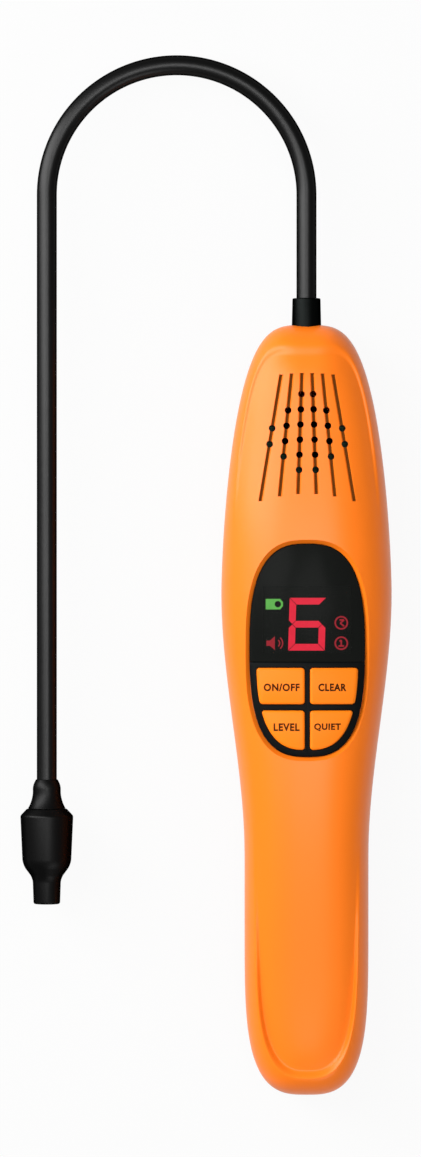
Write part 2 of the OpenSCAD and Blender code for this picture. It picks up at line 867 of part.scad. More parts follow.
tab_half = 1;
tab_slot = 0.2;
tab_x = 3.6;
tab_rise = 1.6;
module battery_holder() {
    color("#26262a") difference() {
        union() {
            translate([-tray_half, bay_low - tray_t, tray_under])
                cube([2 * tray_half, bay_high - bay_low + 2 * tray_t, tray_t]);
            for (y = [bay_low - tray_t, bay_high])
                translate([-tray_wall_half, y, tray_wall_low])
                    cube([2 * tray_wall_half, tray_t, tray_under - tray_wall_low + overlap]);
        }
        at_tray_screws() translate([0, 0, tray_under - embed])
            cylinder(r = board_screw_r + slide_gap, h = tray_t + 2 * embed);
        for (s = [-1, 1])
            translate([s * tab_x - tab_half - tab_slot, bay_high - contact_t - tab_slot, tray_under - embed])
                cube([2 * (tab_half + tab_slot), contact_t + tab_slot, tray_t + 2 * embed]);
    }
}

module cell(s) {
    body_len_y = cell_len - nub_len;
    start = s < 0 ? bay_high - contact_t - nub_len - body_len_y : bay_low + contact_t + nub_len;
    along_y(s * cell_x, start, cell_z) cylinder(r = cell_r, h = body_len_y);
    along_y(s * cell_x, s < 0 ? start + body_len_y - overlap : start - nub_len, cell_z)
        cylinder(r = nub_r, h = nub_len + overlap);
}

module battery_left() { color("#4a5866") cell(-1); }
module battery_right() { color("#4a5866") cell(1); }

contact_half = 5;
contact_low = 4.5;
module battery_contacts() {
    color(bright_metal) {
        for (s = [-1, 1]) translate([s * cell_x - contact_half, bay_high - contact_t, cell_z - contact_low])
            cube([2 * contact_half, contact_t, tray_under - cell_z + contact_low]);
        for (s = [-1, 1]) translate([s * tab_x - tab_half, bay_high - contact_t, tray_under - embed])
            cube([2 * tab_half, contact_t, tray_t + tab_rise + embed]);
        translate([-cell_x - contact_half, bay_low, cell_z - contact_low])
            cube([2 * (cell_x + contact_half), contact_t, 2 * contact_low]);
    }
}

spring_wire = 0.4;
coil_band = 0.96;
spring_turns = 5;
spring_wide = 4.6;
spring_narrow = 2.6;
module coil(s) {
    start = s < 0 ? bay_low + contact_t : bay_high - contact_t;
    pitch = (spring_len - overlap) / spring_turns;
    taper = (spring_wide - spring_narrow) / (spring_turns - 1);
    for (k = [0 : spring_turns - 1])
        along_y(s * cell_x, start - s * (overlap / 2 + pitch * (k + 0.5)), cell_z)
            rotate_extrude()
                translate([spring_wide - taper * k - spring_wire, 0])
                    square([coil_band, pitch + overlap], center = true);
}

module battery_springs() {
    color(bright_metal) {
        coil(-1);
        coil(1);
    }
}

wire_r = 0.6;
wire_reach = 4;
module battery_leads() {
    color("#a02824") for (s = [-1, 1])
        along_y(s * tab_x, bay_high, board_under - wire_r)
            cylinder(r = wire_r, h = board_low + wire_reach - bay_high);
}

module screw(r, head_r, head_h, len) {
    cylinder(r = head_r, h = head_h);
    cylinder(r = r, h = head_h + len);
}

module case_screws() {
    color(bright_metal) at_case_screws() translate([0, 0, case_head_z - case_head_h])
        screw(case_screw_r, case_head_r, case_head_h, split_z + case_screw_top - case_head_z);
}

module board_screws() {
    color(bright_metal) at_board_screws() translate([0, 0, board_under - board_head_h])
        screw(board_screw_r, board_head_r, board_head_h, board_t + board_screw_len - slide_gap);
}

module holder_screws() {
    color(bright_metal) at_tray_screws() translate([0, 0, tray_under - board_head_h])
        screw(board_screw_r, board_head_r, board_head_h, tray_t + tray_screw_len - slide_gap);
}

// Gooseneck: links with ball and socket ends along a straight, a half circle and a straight
neck_r = neck_d / 2;
ball_skin = 0.42;
pocket_skin = 0.12;
ball_r = neck_r - ball_skin;
pocket_r = neck_r - pocket_skin;
link_gap = 2.2;
gap_turn = link_gap / bend_r * 180 / PI;
bend_links = 6;
hinge_turn = 180 / bend_links;
leg_hinge_shares = [0.33, 0.67];
bend_y = end_y + ferrule_len + neck_rise;
drop_y = bend_y - neck_drop;
leg_x = -2 * bend_r;
collar_bury = 5;

module on_bend(angle) {
    translate([-bend_r, bend_y, split_z]) rotate(angle) translate([bend_r, 0, 0]) children();
}
module on_leg(y) {
    translate([leg_x, y, split_z]) children();
}

module gooseneck_base() {
    color(satin_black) {
        along_y(0, neck_inner_y, split_z) cylinder(r = neck_r, h = bend_y - neck_inner_y);
        on_bend(0) sphere(ball_r);
    }
}

// Link k of the half circle, from its socket to the ball of the next hinge
module bend_link(k) {
    from = hinge_turn * (k - 1) + gap_turn;
    color(satin_black) difference() {
        union() {
            translate([-bend_r, bend_y, split_z]) rotate(from)
                rotate_extrude(angle = hinge_turn - gap_turn, $fn = 96)
                    translate([bend_r, 0]) circle(neck_r);
            on_bend(hinge_turn * k) sphere(ball_r);
        }
        on_bend(hinge_turn * (k - 1)) sphere(pocket_r);
    }
}

// Straight link between two heights on the leg, with a ball at its lower end
module leg_link(high, low, ball = true) {
    color(satin_black) difference() {
        union() {
            along_y(leg_x, low, split_z) cylinder(r = neck_r, h = high - link_gap - low);
            if (ball) on_leg(low) sphere(ball_r);
        }
        on_leg(high) sphere(pocket_r);
    }
}

leg_hinges = [for (share = leg_hinge_shares) bend_y - neck_drop * share];
module gooseneck_link_1() { bend_link(1); }
module gooseneck_link_2() { bend_link(2); }
module gooseneck_link_3() { bend_link(3); }
module gooseneck_link_4() { bend_link(4); }
module gooseneck_link_5() { bend_link(5); }
module gooseneck_link_6() { bend_link(6); }
module gooseneck_link_7() { leg_link(bend_y, leg_hinges[0]); }
module gooseneck_link_8() { leg_link(leg_hinges[0], leg_hinges[1]); }
module gooseneck_link_9() { leg_link(leg_hinges[1], drop_y - collar_bury, ball = false); }

ferrule_taper = 0.2;
ferrule_edge = 0.4;
module ferrule() {
    bore = neck_r + fit_gap / 2;
    out = end_y + ferrule_len - flange_y + flange_t;
    color(satin_black) along_y(0, flange_y - flange_t, split_z) rotate_extrude()
        polygon([[bore, 0], [flange_r, 0], [flange_r, flange_t], [ferrule_r, flange_t],
                 [ferrule_r, out - ferrule_len], [ferrule_r - ferrule_taper, out - ferrule_edge],
                 [ferrule_r - ferrule_taper - ferrule_edge, out], [bore, out]]);
}

// Sensor head: profiles run from the gooseneck's end down to the nozzle
arc_steps = 8;
collar_r = collar_d / 2;
flare_w = 1.4;
flare_r = collar_r + flare_w;
cap_r = cap_d / 2;
cap_taper = 0.6;
cap_low_r = cap_r - cap_taper;
cap_wall = 1.3;
cap_lip = 0.35;
cap_corner = 0.35;
spigot_in = 1;
spigot_r = flare_r - spigot_in;
upper_shoulder = 2.2;
spigot_over = 1;
spigot_len = upper_shoulder + spigot_over;
lower_shoulder = 5;
nozzle_r = nozzle_d / 2;
nozzle_bore_r = 2.6;
nozzle_tip = 0.5;
flare_len = 3;
collar_top_chamfer = 1;
collar_top_len = 1.8;
barrel_s = collar_len + upper_shoulder;
shoulder_s = barrel_s + cap_barrel_len;
nozzle_s = shoulder_s + lower_shoulder;
tip_s = nozzle_s + nozzle_len;

module on_head() {
    translate([leg_x, drop_y, split_z]) rotate([90, 0, 0]) children();
}

// Quarter wave from [r0, s0] to [r1, s1], level at both ends
function ease_points(r0, s0, r1, s1) = [for (k = [0 : arc_steps])
    let (t = k / arc_steps) [r0 + (r1 - r0) * smooth(t), s0 + (s1 - s0) * t]];

// Flare from [r0, s0] to [r1, s1], level where it starts
function flare_points(r0, s0, r1, s1) = [for (k = [0 : arc_steps])
    let (t = k / arc_steps) [r0 + (r1 - r0) * t * t, s0 + (s1 - s0) * t]];

module head_collar() {
    bore = neck_r + fit_gap / 2;
    color(satin_black) on_head() rotate_extrude() polygon(concat(
        [[bore, 0], [collar_r - collar_top_chamfer, 0], [collar_r, collar_top_len]],
        flare_points(collar_r, collar_len - flare_len, flare_r, collar_len),
        [[spigot_r, collar_len], [spigot_r, collar_len + spigot_len], [0, collar_len + spigot_len],
         [0, collar_bury], [bore, collar_bury]]
    ));
}

socket_disc_t = 3;
element_r = 3.7;
element_len = 6.5;
socket_clear = 0.3;
module sensor_socket() {
    color("#d8d2c0") on_head() translate([0, 0, collar_len + spigot_len])
        cylinder(r = spigot_r - socket_clear, h = socket_disc_t);
}

module sensor_element() {
    color(bright_metal) on_head() translate([0, 0, collar_len + spigot_len + socket_disc_t])
        cylinder(r = element_r, h = element_len);
}

module sensor_cap() {
    color(satin_black) on_head() rotate_extrude() polygon(concat(
        [[spigot_r + fit_gap, collar_len + slide_gap / 2], [flare_r + cap_lip, collar_len + slide_gap / 2],
         [cap_r - cap_corner, barrel_s - cap_corner], [cap_r, barrel_s + cap_corner]],
        ease_points(cap_low_r, shoulder_s, nozzle_r, nozzle_s),
        [[nozzle_r, tip_s - 2 * nozzle_tip], [nozzle_r - nozzle_tip, tip_s],
         [nozzle_bore_r, tip_s], [nozzle_bore_r, nozzle_s - cap_wall],
         [cap_low_r - cap_wall, shoulder_s], [cap_r - cap_wall, barrel_s],
         [spigot_r + fit_gap, barrel_s]]
    ));
}

filter_t = 1;
filter_set = 1.4;
module tip_filter() {
    color("#8a8a88") on_head() translate([0, 0, tip_s - filter_set - filter_t])
        cylinder(r = nozzle_bore_r - fit_gap / 4, h = filter_t);
}

front_shell();
rear_shell();
battery_door();
display_lens();
key_frame();
button_power();
button_reset();
button_sens();
button_mute();
main_board();
display_module();
lit_segments();
lit_icons();
battery_icon();
key_switches();
sounder();
controller_chip();
sensor_connector();
sensor_lead();
battery_holder();
battery_left();
battery_right();
battery_contacts();
battery_springs();
battery_leads();
case_screws();
board_screws();
holder_screws();
ferrule();
gooseneck_base();
gooseneck_link_1();
gooseneck_link_2();
gooseneck_link_3();
gooseneck_link_4();
gooseneck_link_5();
gooseneck_link_6();
gooseneck_link_7();
gooseneck_link_8();
gooseneck_link_9();
head_collar();
sensor_socket();
sensor_element();
sensor_cap();
tip_filter();
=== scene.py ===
# Leak detector with a gooseneck probe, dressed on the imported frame
import math

import bmesh
import bpy
from mathutils import Matrix, Vector


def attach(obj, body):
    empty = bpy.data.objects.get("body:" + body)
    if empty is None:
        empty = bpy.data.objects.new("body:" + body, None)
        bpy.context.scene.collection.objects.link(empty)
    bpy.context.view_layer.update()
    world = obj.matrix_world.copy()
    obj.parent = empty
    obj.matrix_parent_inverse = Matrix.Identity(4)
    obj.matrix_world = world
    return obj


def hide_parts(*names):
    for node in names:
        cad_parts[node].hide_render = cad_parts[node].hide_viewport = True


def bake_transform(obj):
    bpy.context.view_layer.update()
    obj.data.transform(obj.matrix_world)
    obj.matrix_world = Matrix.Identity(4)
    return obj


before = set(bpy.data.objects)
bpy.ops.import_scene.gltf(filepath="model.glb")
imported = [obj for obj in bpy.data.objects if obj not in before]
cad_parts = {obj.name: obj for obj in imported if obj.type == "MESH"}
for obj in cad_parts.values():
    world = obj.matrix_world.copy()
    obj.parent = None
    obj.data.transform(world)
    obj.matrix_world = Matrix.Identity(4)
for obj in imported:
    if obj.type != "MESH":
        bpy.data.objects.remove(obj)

scene = bpy.context.scene
mm = 0.001
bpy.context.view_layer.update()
print("frame loaded:", len(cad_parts), "nodes")

# Camera straight above the front; a near soft box to the left, a far one overhead, a weak one low right
view = {"across": -27.5, "along": 37.6, "plane": 15.0, "far": 1600.0, "tall": 331.5, "sensor": 36.0,
        "clip": 30.0}
studio = {
    "keyAngle": -52.0, "keyFar": 0.70, "keyWide": 0.34, "keyTall": 1.3, "keyUp": 0.3, "keyGlow": 6.2,
    "overAngle": 4.0, "overFar": 2.2, "overWide": 0.8, "overTall": 0.8, "overUp": 0.1, "overGlow": 5.6,
    "lowAngle": 32.0, "lowFar": 0.8, "lowWide": 0.7, "lowTall": 0.5, "lowUp": -0.9, "lowGlow": 2.0,
    "worldGrey": 0.23, "floorSize": 12.0, "floorDrop": 0.15, "floorWhite": 0.5, "floorShare": 0.93,
}


def makeCamera():
    data = bpy.data.cameras.new("photo_camera")
    data.sensor_fit = "VERTICAL"
    data.sensor_height = view["sensor"]
    data.lens = view["sensor"] * view["far"] / view["tall"]
    data.clip_end = view["clip"]
    camera = bpy.data.objects.new("photo_camera", data)
    camera.location = Vector((view["across"], view["along"], view["plane"] + view["far"])) * mm
    scene.collection.objects.link(camera)
    scene.camera = camera


def makeSoftBox(name):
    wide, tall, far = [studio[name + part] for part in ("Wide", "Tall", "Far")]
    data = bpy.data.lights.new(name + "_box", "AREA")
    data.shape = "RECTANGLE"
    data.size = wide
    data.size_y = tall
    data.energy = studio[name + "Glow"] * 4 * wide * tall
    lamp = bpy.data.objects.new(name + "_box", data)
    tilt = math.radians(studio[name + "Angle"])
    place = Vector((math.sin(tilt) * far, studio[name + "Up"], math.cos(tilt) * far))
    lamp.location = place
    lamp.rotation_euler = (-place).to_track_quat("-Z", "Y").to_euler()
    scene.collection.objects.link(lamp)


def makeStudio():
    for name in ("key", "over", "low"):
        makeSoftBox(name)
    world = bpy.data.worlds.new("studio_world")
    world.use_nodes = True
    world.node_tree.nodes["Background"].inputs["Color"].default_value = (*[studio["worldGrey"]] * 3, 1)
    scene.world = world
    scene.view_settings.view_transform = "Standard"


# Shader maths: sums on a wire add Math nodes to its tree
class Wire:
    def __init__(self, tree, socket=None):
        self.tree = tree
        self.socket = socket

    def add(self, kind, settings=None, sockets=None, out=0):
        node = self.tree.nodes.new(kind)
        for key, value in (settings or {}).items():
            setattr(node, key, value)
        for key, value in (sockets or {}).items():
            if isinstance(value, Wire):
                self.tree.links.new(value.socket, node.inputs[key])
            else:
                node.inputs[key].default_value = value
        return Wire(self.tree, node.outputs[out])

    def math(self, operation, *values):
        return self.add("ShaderNodeMath", {"operation": operation}, dict(enumerate(values)))

    def __add__(self, other):
        return self.math("ADD", self, other)

    __radd__ = __add__

    def __sub__(self, other):
        return self.math("SUBTRACT", self, other)

    def __rsub__(self, other):
        return self.math("SUBTRACT", other, self)

    def __mul__(self, other):
        return self.math("MULTIPLY", self, other)

    __rmul__ = __mul__

    def __gt__(self, other):
        return self.math("GREATER_THAN", self, other)

    def __lt__(self, other):
        return self.math("LESS_THAN", self, other)

    def __abs__(self):
        return self.math("ABSOLUTE", self)

    def tint(self, low, high):
        return self.add("ShaderNodeMix", {"data_type": "RGBA"}, {0: self, 6: low, 7: high}, 2)

    def noise(self, scale, detail=2.0):
        return self.add("ShaderNodeTexNoise", {}, {"Vector": self, "Scale": scale, "Detail": detail})

    def axis(self, name):
        return self.add("ShaderNodeSeparateXYZ", {}, {"Vector": self}, name)

    def bump(self, strength):
        return self.add("ShaderNodeBump", {}, {"Strength": strength, "Distance": 0.1 * mm, "Height": self})


def colour(red, green, blue, share=1.0):
    return (red * share, green * share, blue * share, 1)


class Finish:
    def __init__(self, name, constants):
        self.material = bpy.data.materials.new(name)
        self.material.use_nodes = True
        tree = self.material.node_tree
        self.shader = tree.nodes["Principled BSDF"]
        for socket, value in constants.items():
            self.shader.inputs[socket].default_value = value
        self.spot = Wire(tree).add("ShaderNodeTexCoord", {}, {}, "Object")

    def feed(self, socket, wire):
        wire.tree.links.new(wire.socket, self.shader.inputs[socket])


def gloss(level):
    return {"Specular IOR Level": level}


# Moulded plastic: a faint cloud in the colour, fine grain in the gloss and the surface
def mouldedFinish(name, base, rough, grain, depth, cloud, constants):
    finish = Finish(name, constants)
    patch = finish.spot.noise(45.0, 3.0)
    fine = finish.spot.noise(grain)
    finish.feed("Base Color", patch.tint(colour(*base, 1 - cloud), colour(*base, 1 + cloud)))
    finish.feed("Roughness", rough - 0.04 + 0.08 * fine)
    finish.feed("Normal", fine.bump(depth))
    return finish.material


def metalFinish(name, base, rough):
    finish = Finish(name, {"Metallic": 1.0})
    streak = finish.spot.noise(900.0, 4.0)
    finish.feed("Base Color", streak.tint(colour(*base, 0.85), colour(*base)))
    finish.feed("Roughness", rough - 0.06 + 0.12 * streak)
    return finish.material


# Light from the display, a little uneven as a diffuser is
def litFinish(name, base, glow):
    finish = Finish(name, {"Base Color": colour(*base, 0.2), "Roughness": 0.5, "Emission Strength": glow})
    uneven = finish.spot.noise(700.0, 1.0)
    finish.feed("Emission Color", uneven.tint(colour(*base, 0.86), colour(*base, 1.06)))
    return finish.material


# Smoked window: opaque print round a see-through field over the display, the field's colour painted
# lighter: painted light making up for the light lost through it
def windowFinish(name, field):
    finish = Finish(name, gloss(0.015))
    across, along = finish.spot.axis("X"), finish.spot.axis("Y")
    inside = (abs(across) < field["half"] * mm) * (abs(along - field["y"] * mm) < field["tall"] / 2 * mm)
    smear = finish.spot.noise(160.0, 3.0)
    printed = smear.tint(colour(*field["tone"], 0.9), colour(*field["tone"], 1.1))
    # Painted light: the field's colour is raised over the print's so that it looks as bright as the
    # surround
    fieldPaintedLight = smear.tint(colour(*field["tone"], 1.3), colour(*field["tone"], 1.6))
    finish.feed("Base Color", inside.tint(printed, fieldPaintedLight))
    finish.feed("Roughness", 0.16 + 0.08 * smear)
    finish.feed("Alpha", 1 - (1 - field["smoke"]) * inside)
    return finish.material


# Circuit board: green mask over copper tracks
def boardFinish(name):
    finish = Finish(name, gloss(0.05))
    tracks = finish.spot.add("ShaderNodeTexBrick", {"offset": 0.5}, {
        "Vector": finish.spot, "Scale": 220.0, "Mortar Size": 0.02,
        "Color1": (0, 0, 0, 1), "Color2": (0, 0, 0, 1), "Mortar": (1, 1, 1, 1)}, "Fac")
    finish.feed("Base Color", tracks.tint(colour(0.006, 0.042, 0.024), colour(0.015, 0.09, 0.05)))
    finish.feed("Roughness", 0.35 + 0.1 * finish.spot.noise(500.0))
    return finish.material


# Cell: printed sleeve with a lighter band towards one end
def cellFinish(name, bandY):
    finish = Finish(name, {"Metallic": 0.3})
    band = finish.spot.axis("Y") > bandY * mm
    finish.feed("Base Color", band.tint(colour(0.03, 0.035, 0.045), colour(0.42, 0.24, 0.07)))
    finish.feed("Roughness", 0.3 + 0.1 * finish.spot.noise(350.0))
    return finish.material


# Each moulding: material, colour, roughness, grain's fineness and depth, cloud, constants
darkMetal = {"Metallic": 1.0, "Specular Tint": (0, 0, 0, 1)}
mouldings = {
    "shell": ("orange_shell_abs", (0.93, 0.19, 0.008), 0.36, 2200.0, 0.10, 0.03, gloss(0.28)),
    "key": ("orange_key_rubber", (0.94, 0.205, 0.006), 0.45, 2600.0, 0.10, 0.03, gloss(0.12)),
    # slot: painted shade, a dark brown on the groove floors standing in for the shadow inside them
    "slot": ("painted_shade_slot", (0.24, 0.075, 0.012), 0.7, 2200.0, 0.10, 0.03, gloss(0.02)),
    "felt": ("black_felt", (0.0015, 0.0012, 0.001), 0.9, 3000.0, 0.30, 0.2, gloss(0.0)),
    "frame": ("black_key_frame", (0.0042, 0.0050, 0.0052), 0.38, 2600.0, 0.10, 0.1, gloss(0.03)),
    "neck": ("black_neck_sheath", (0.023, 0.023, 0.023), 0.36, 1800.0, 0.06, 0.1, darkMetal),
    "head": ("black_head_rubber", (0.0145, 0.0145, 0.0145), 0.42, 2200.0, 0.12, 0.1, darkMetal),
    "ferrule": ("black_ferrule_plastic", (0.0058, 0.0067, 0.0064), 0.42, 2200.0, 0.12, 0.1, darkMetal),
    "print": ("brown_key_print", (0.050, 0.015, 0.003), 0.6, 3000.0, 0.05, 0.03, gloss(0.03)),
    "block": ("display_block", (0.006, 0.0066, 0.006), 0.3, 1500.0, 0.1, 0.1, gloss(0.08)),
    "chip": ("dark_moulding", (0.008, 0.008, 0.009), 0.5, 2000.0, 0.15, 0.03, {}),
    "pale": ("pale_moulding", (0.72, 0.68, 0.58), 0.45, 1800.0, 0.1, 0.03, {}),
    "wire": ("wire_sleeve", (0.30, 0.02, 0.015), 0.4, 1800.0, 0.05, 0.03, {}),
}
finishes = {key: mouldedFinish(*values) for key, values in mouldings.items()}
finishes.update({
    "window": windowFinish("smoked_window", {"half": 12.6, "y": 25.9, "tall": 19.0, "smoke": 0.65,
                                             "tone": (0.0072, 0.0079, 0.0072)}),
    "red": litFinish("red_light", (0.98, 0.022, 0.06), 6.4),
    "dimRed": litFinish("dim_red_light", (0.52, 0.022, 0.04), 5.2),
    "green": litFinish("green_light", (0.16, 0.60, 0.11), 6.0),
    "board": boardFinish("circuit_board"),
    "cell": cellFinish("cell_sleeve", -46.0),
    "steel": metalFinish("plated_steel", (0.62, 0.61, 0.58), 0.3),
    "mesh": metalFinish("sintered_disc", (0.36, 0.35, 0.33), 0.55),
})
print("finishes made:", len(finishes))


# Modelling is in millimetres; what goes into the scene is in metres
def meshObject(name, mesh, worn):
    bmesh.ops.scale(mesh, vec=(mm, mm, mm), verts=mesh.verts)
    data = bpy.data.meshes.new(name)
    mesh.to_mesh(data)
    mesh.free()
    for finish in worn:
        data.materials.append(finishes[finish])
    made = bpy.data.objects.new(name, data)
    scene.collection.objects.link(made)
    return made


def keepPiece(name, mesh, finish, nodes=(), sharp=32.0):
    piece = meshObject(name, mesh, (finish,))
    smoothShade(piece, sharp)
    if nodes:
        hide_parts(*nodes)
    return piece


def smoothShade(piece, sharp):
    piece.data.shade_smooth()
    piece.data.set_sharp_from_angle(angle=math.radians(sharp))


def faceOut(mesh):
    bmesh.ops.recalc_face_normals(mesh, faces=mesh.faces)
    return mesh


def evaluatedMesh(thing):
    bpy.context.view_layer.update()
    ready = thing.evaluated_get(bpy.context.evaluated_depsgraph_get())
    return bpy.data.meshes.new_from_object(ready)


def carve(piece, mesh, operation="DIFFERENCE", sharp=32.0, worn=()):
    cutter = meshObject("cutter", faceOut(mesh), worn)
    tool = piece.modifiers.new("carve", "BOOLEAN")
    tool.operation = operation
    tool.solver = "EXACT"
    tool.use_self = True
    tool.material_mode = "TRANSFER" if worn else "INDEX"
    tool.object = cutter
    carved = evaluatedMesh(piece)
    piece.modifiers.clear()
    plain = piece.data
    piece.data = carved
    bpy.data.meshes.remove(plain)
    bpy.data.objects.remove(cutter)
    smoothShade(piece, sharp)


def cornersOf(geometry):
    return [part for part in geometry if isinstance(part, bmesh.types.BMVert)]


def edgesOf(geometry):
    return [part for part in geometry if isinstance(part, bmesh.types.BMEdge)]


def edgesAt(corners):
    return list(dict.fromkeys(edge for corner in corners for edge in corner.link_edges))


def roundOff(mesh, geometry, offset, segments, affect):
    bmesh.ops.bevel(mesh, geom=geometry, offset=offset, offset_type="OFFSET", segments=segments,
                    profile=0.5, affect=affect, material=-1)


# Skin over rings with the same number of corners; place(ring, step) puts each corner
def ringStack(mesh, count, rings, place, capped=False):
    tag = mesh.verts.layers.int.get("step") or mesh.verts.layers.int.new("step")
    made = bmesh.ops.create_circle(mesh, segments=count, radius=1.0)["verts"]
    loop = edgesAt(made)
    for step, corner in enumerate(made):
        corner[tag] = step
        corner.co = place(rings[0], step)
    ends = [loop]
    for ring in rings[1:]:
        grown = bmesh.ops.extrude_edge_only(mesh, edges=loop)["geom"]
        for corner in cornersOf(grown):
            corner.co = place(ring, corner[tag])
        loop = edgesOf(grown)
    ends.append(loop)
    if capped:
        for end in ends:
            bmesh.ops.contextual_create(mesh, geom=end)
    return mesh


# Solid from a flat outline of a few corners, pushed along a vector
def pushOutline(mesh, corners, push):
    made = [mesh.verts.new(corner) for corner in corners]
    face = mesh.faces.new(made)
    grown = bmesh.ops.extrude_face_region(mesh, geom=[face])["geom"]
    bmesh.ops.translate(mesh, vec=push, verts=cornersOf(grown))
    return mesh


def addRod(mesh, radius, low, high, sides=32):
    span = Vector(high) - Vector(low)
    turn = span.to_track_quat("Z", "Y").to_matrix().to_4x4()
    place = Matrix.Translation((Vector(low) + Vector(high)) / 2) @ turn
    bmesh.ops.create_cone(mesh, cap_ends=True, segments=sides, radius1=radius, radius2=radius,
                          depth=span.length, matrix=place)
    return mesh


def addBlock(mesh, low, high):
    size = Vector(high) - Vector(low)
    place = Matrix.Translation((Vector(low) + Vector(high)) / 2) @ Matrix.Diagonal((*size, 1))
    bmesh.ops.create_cube(mesh, size=1.0, matrix=place)
    return mesh


# Shells: one outline in three stretches, with heights worked out from the inset
shell = {
    "length": 220.5, "headWidth": 48.8, "gripWidth": 35.5, "headEnd": 77.0, "gripEnd": 50.0, "waist": 75.0,
    "gripPowers": (3.0, 4.0), "headPowers": (3.6, 1.57),
    "crest": 31.0, "gripCrest": 27.0, "endCrest": 28.5, "split": 15.0, "wall": 2.2,
    "gripBlend": (-5.0, 105.0), "endBlend": 50.0, "gripFade": (-24.0, 85.0), "headFade": (44.0, 36.0),
    "rim": 2.1, "rimGrip": 1.2, "rimFade": (-20.0, 70.0), "rimEnd": 5.2, "endTurn": (24, 2),
    "step": 1.4, "stepHead": 4.6, "stepGrip": 2.6, "gripRecess": 2.6, "headRecess": 1.2,
    "crown": (3.0, 2.2), "backRound": 8.5, "backPower": 2.4, "backOver": 0.6, "setback": 0.25,
    "gripSteps": 44, "waistSteps": 30, "headSteps": 54,
}
endY = shell["length"] / 2
headY = endY - shell["headEnd"]
gripY = shell["gripEnd"] - endY
gripSteps = shell["gripSteps"]
waistTop = gripSteps + shell["waistSteps"]
sideSteps = waistTop + shell["headSteps"]
splitZ = shell["split"]
wall = shell["wall"]
# A height above everything, and how far added and cutting solids reach into or past a skin
clearZ = shell["crest"] + 10
overlap = 1.0


def clamp01(t):
    return max(0.0, min(1.0, t))


def ease(t):
    c = clamp01(t)
    return c * c * (3 - 2 * c)


def halfWidth(y):
    narrowing = (shell["headWidth"] - shell["gripWidth"]) / 2
    return shell["headWidth"] / 2 - narrowing * ease((headY - y) / shell["waist"])


def turnAt(i):
    if i <= gripSteps:
        return math.pi / 2 * (1 - i / gripSteps)
    if i >= waistTop:
        return math.pi / 2 * (i - waistTop) / shell["headSteps"]
    return 0.0


def waistY(i):
    return gripY + (headY - gripY) * (i - gripSteps) / shell["waistSteps"]


def reachAt(i):
    if i < gripSteps:
        return halfWidth(gripY)
    if i > waistTop:
        return shell["headWidth"] / 2
    return halfWidth(waistY(i))


def bow(part, power):
    return math.copysign(abs(part) ** (2 / power), part)


def edgePoint(i, inset):
    reach = reachAt(i) - inset
    a = turnAt(i)
    if i < gripSteps:
        side, end = shell["gripPowers"]
        return reach * bow(math.cos(a), side), gripY - (shell["gripEnd"] - inset) * bow(math.sin(a), end)
    if i > waistTop:
        side, end = shell["headPowers"]
        return reach * bow(math.cos(a), side), headY + (shell["headEnd"] - inset) * bow(math.sin(a), end)
    return reach, waistY(i)


def crestAt(y):
    start, run = shell["gripBlend"]
    toGrip = (shell["crest"] - shell["gripCrest"]) * ease((start - y) / run)
    endStart = shell["endBlend"]
    toEnd = (shell["crest"] - shell["endCrest"]) * ease((y - endStart) / (endY - endStart))
    return shell["crest"] - toGrip - toEnd


def recessAt(y):
    gripStart, gripRun = shell["gripFade"]
    headStart, headRun = shell["headFade"]
    return (shell["gripRecess"] * ease((gripStart - y) / gripRun)
            + shell["headRecess"] * ease((y - headStart) / headRun))


def crown(t):
    inner, outer = shell["crown"]
    return (1 - (1 - clamp01(t)) ** inner) ** (1 / outer)


# Share of the end sizes in the rim and the step: round the grip's tip, and on top of the head only
def endShare(a, y):
    headTurn, gripTurn = shell["endTurn"]
    return math.sin(a) ** (headTurn if y > 0 else gripTurn)


def rimAt(a, y):
    start, run = shell["rimFade"]
    side = shell["rim"] + shell["rimGrip"] * ease((start - y) / run)
    return side + (shell["rimEnd"] - side) * endShare(a, y)


def stepAt(a, y):
    end = shell["stepHead"] if y > 0 else shell["stepGrip"]
    return shell["step"] + (end - shell["step"]) * endShare(a, y)


def frontHeight(inset, reach, a, y):
    rise = (crestAt(y) - splitZ) * crown(inset / reach)
    return splitZ + rise - recessAt(y) * ease((inset - rimAt(a, y)) / stepAt(a, y))


def innerHeight(inset, reach, a, y):
    rise = (crestAt(y) - splitZ - wall) * crown((inset - wall) / (reach - wall))
    edge = max(wall, rimAt(a, y) - wall / 2)
    return splitZ + rise - recessAt(y) * ease((inset - edge) / stepAt(a, y))


# Inset of the head's outline that runs through a point, found by halving
def headInset(x, y):
    side, end = shell["headPowers"]
    reach = shell["headWidth"] / 2
    low, high = 0.0, reach - x - 0.01
    for halving in range(30):
        mid = (low + high) / 2
        spread = ((y - headY) / (shell["headEnd"] - mid)) ** end + (x / (reach - mid)) ** side
        if spread > 1:
            high = mid
        else:
            low = mid
    return (low + high) / 2


def frontAt(x, y):
    if y <= headY:
        return frontHeight(halfWidth(y) - abs(x), halfWidth(y), 0.0, y)
    inset = headInset(abs(x), y)
    rise = min(1.0, ((y - headY) / (shell["headEnd"] - inset)) ** (shell["headPowers"][1] / 2))
    return frontHeight(inset, shell["headWidth"] / 2, math.asin(rise), y)


def backHeight(share, deep):
    power = shell["backPower"]
    return deep * (1 - (1 - clamp01(share)) ** power) ** (1 / power)


def ringStep(j):
    if j <= sideSteps:
        return j, 1
    return 2 * sideSteps - j, -1


rimShares = [0, 0.008, 0.025, 0.055, 0.10, 0.16, 0.24, 0.34, 0.46, 0.6, 0.74, 0.88]
stepShares = [0, 0.12, 0.25, 0.4, 0.55, 0.7, 0.85]
floorShares = [0, 0.08, 0.18, 0.3, 0.44, 0.58, 0.72, 0.86, 1]
innerShares = [0, 0.02, 0.06, 0.13, 0.24, 0.38, 0.56, 0.78, 1]


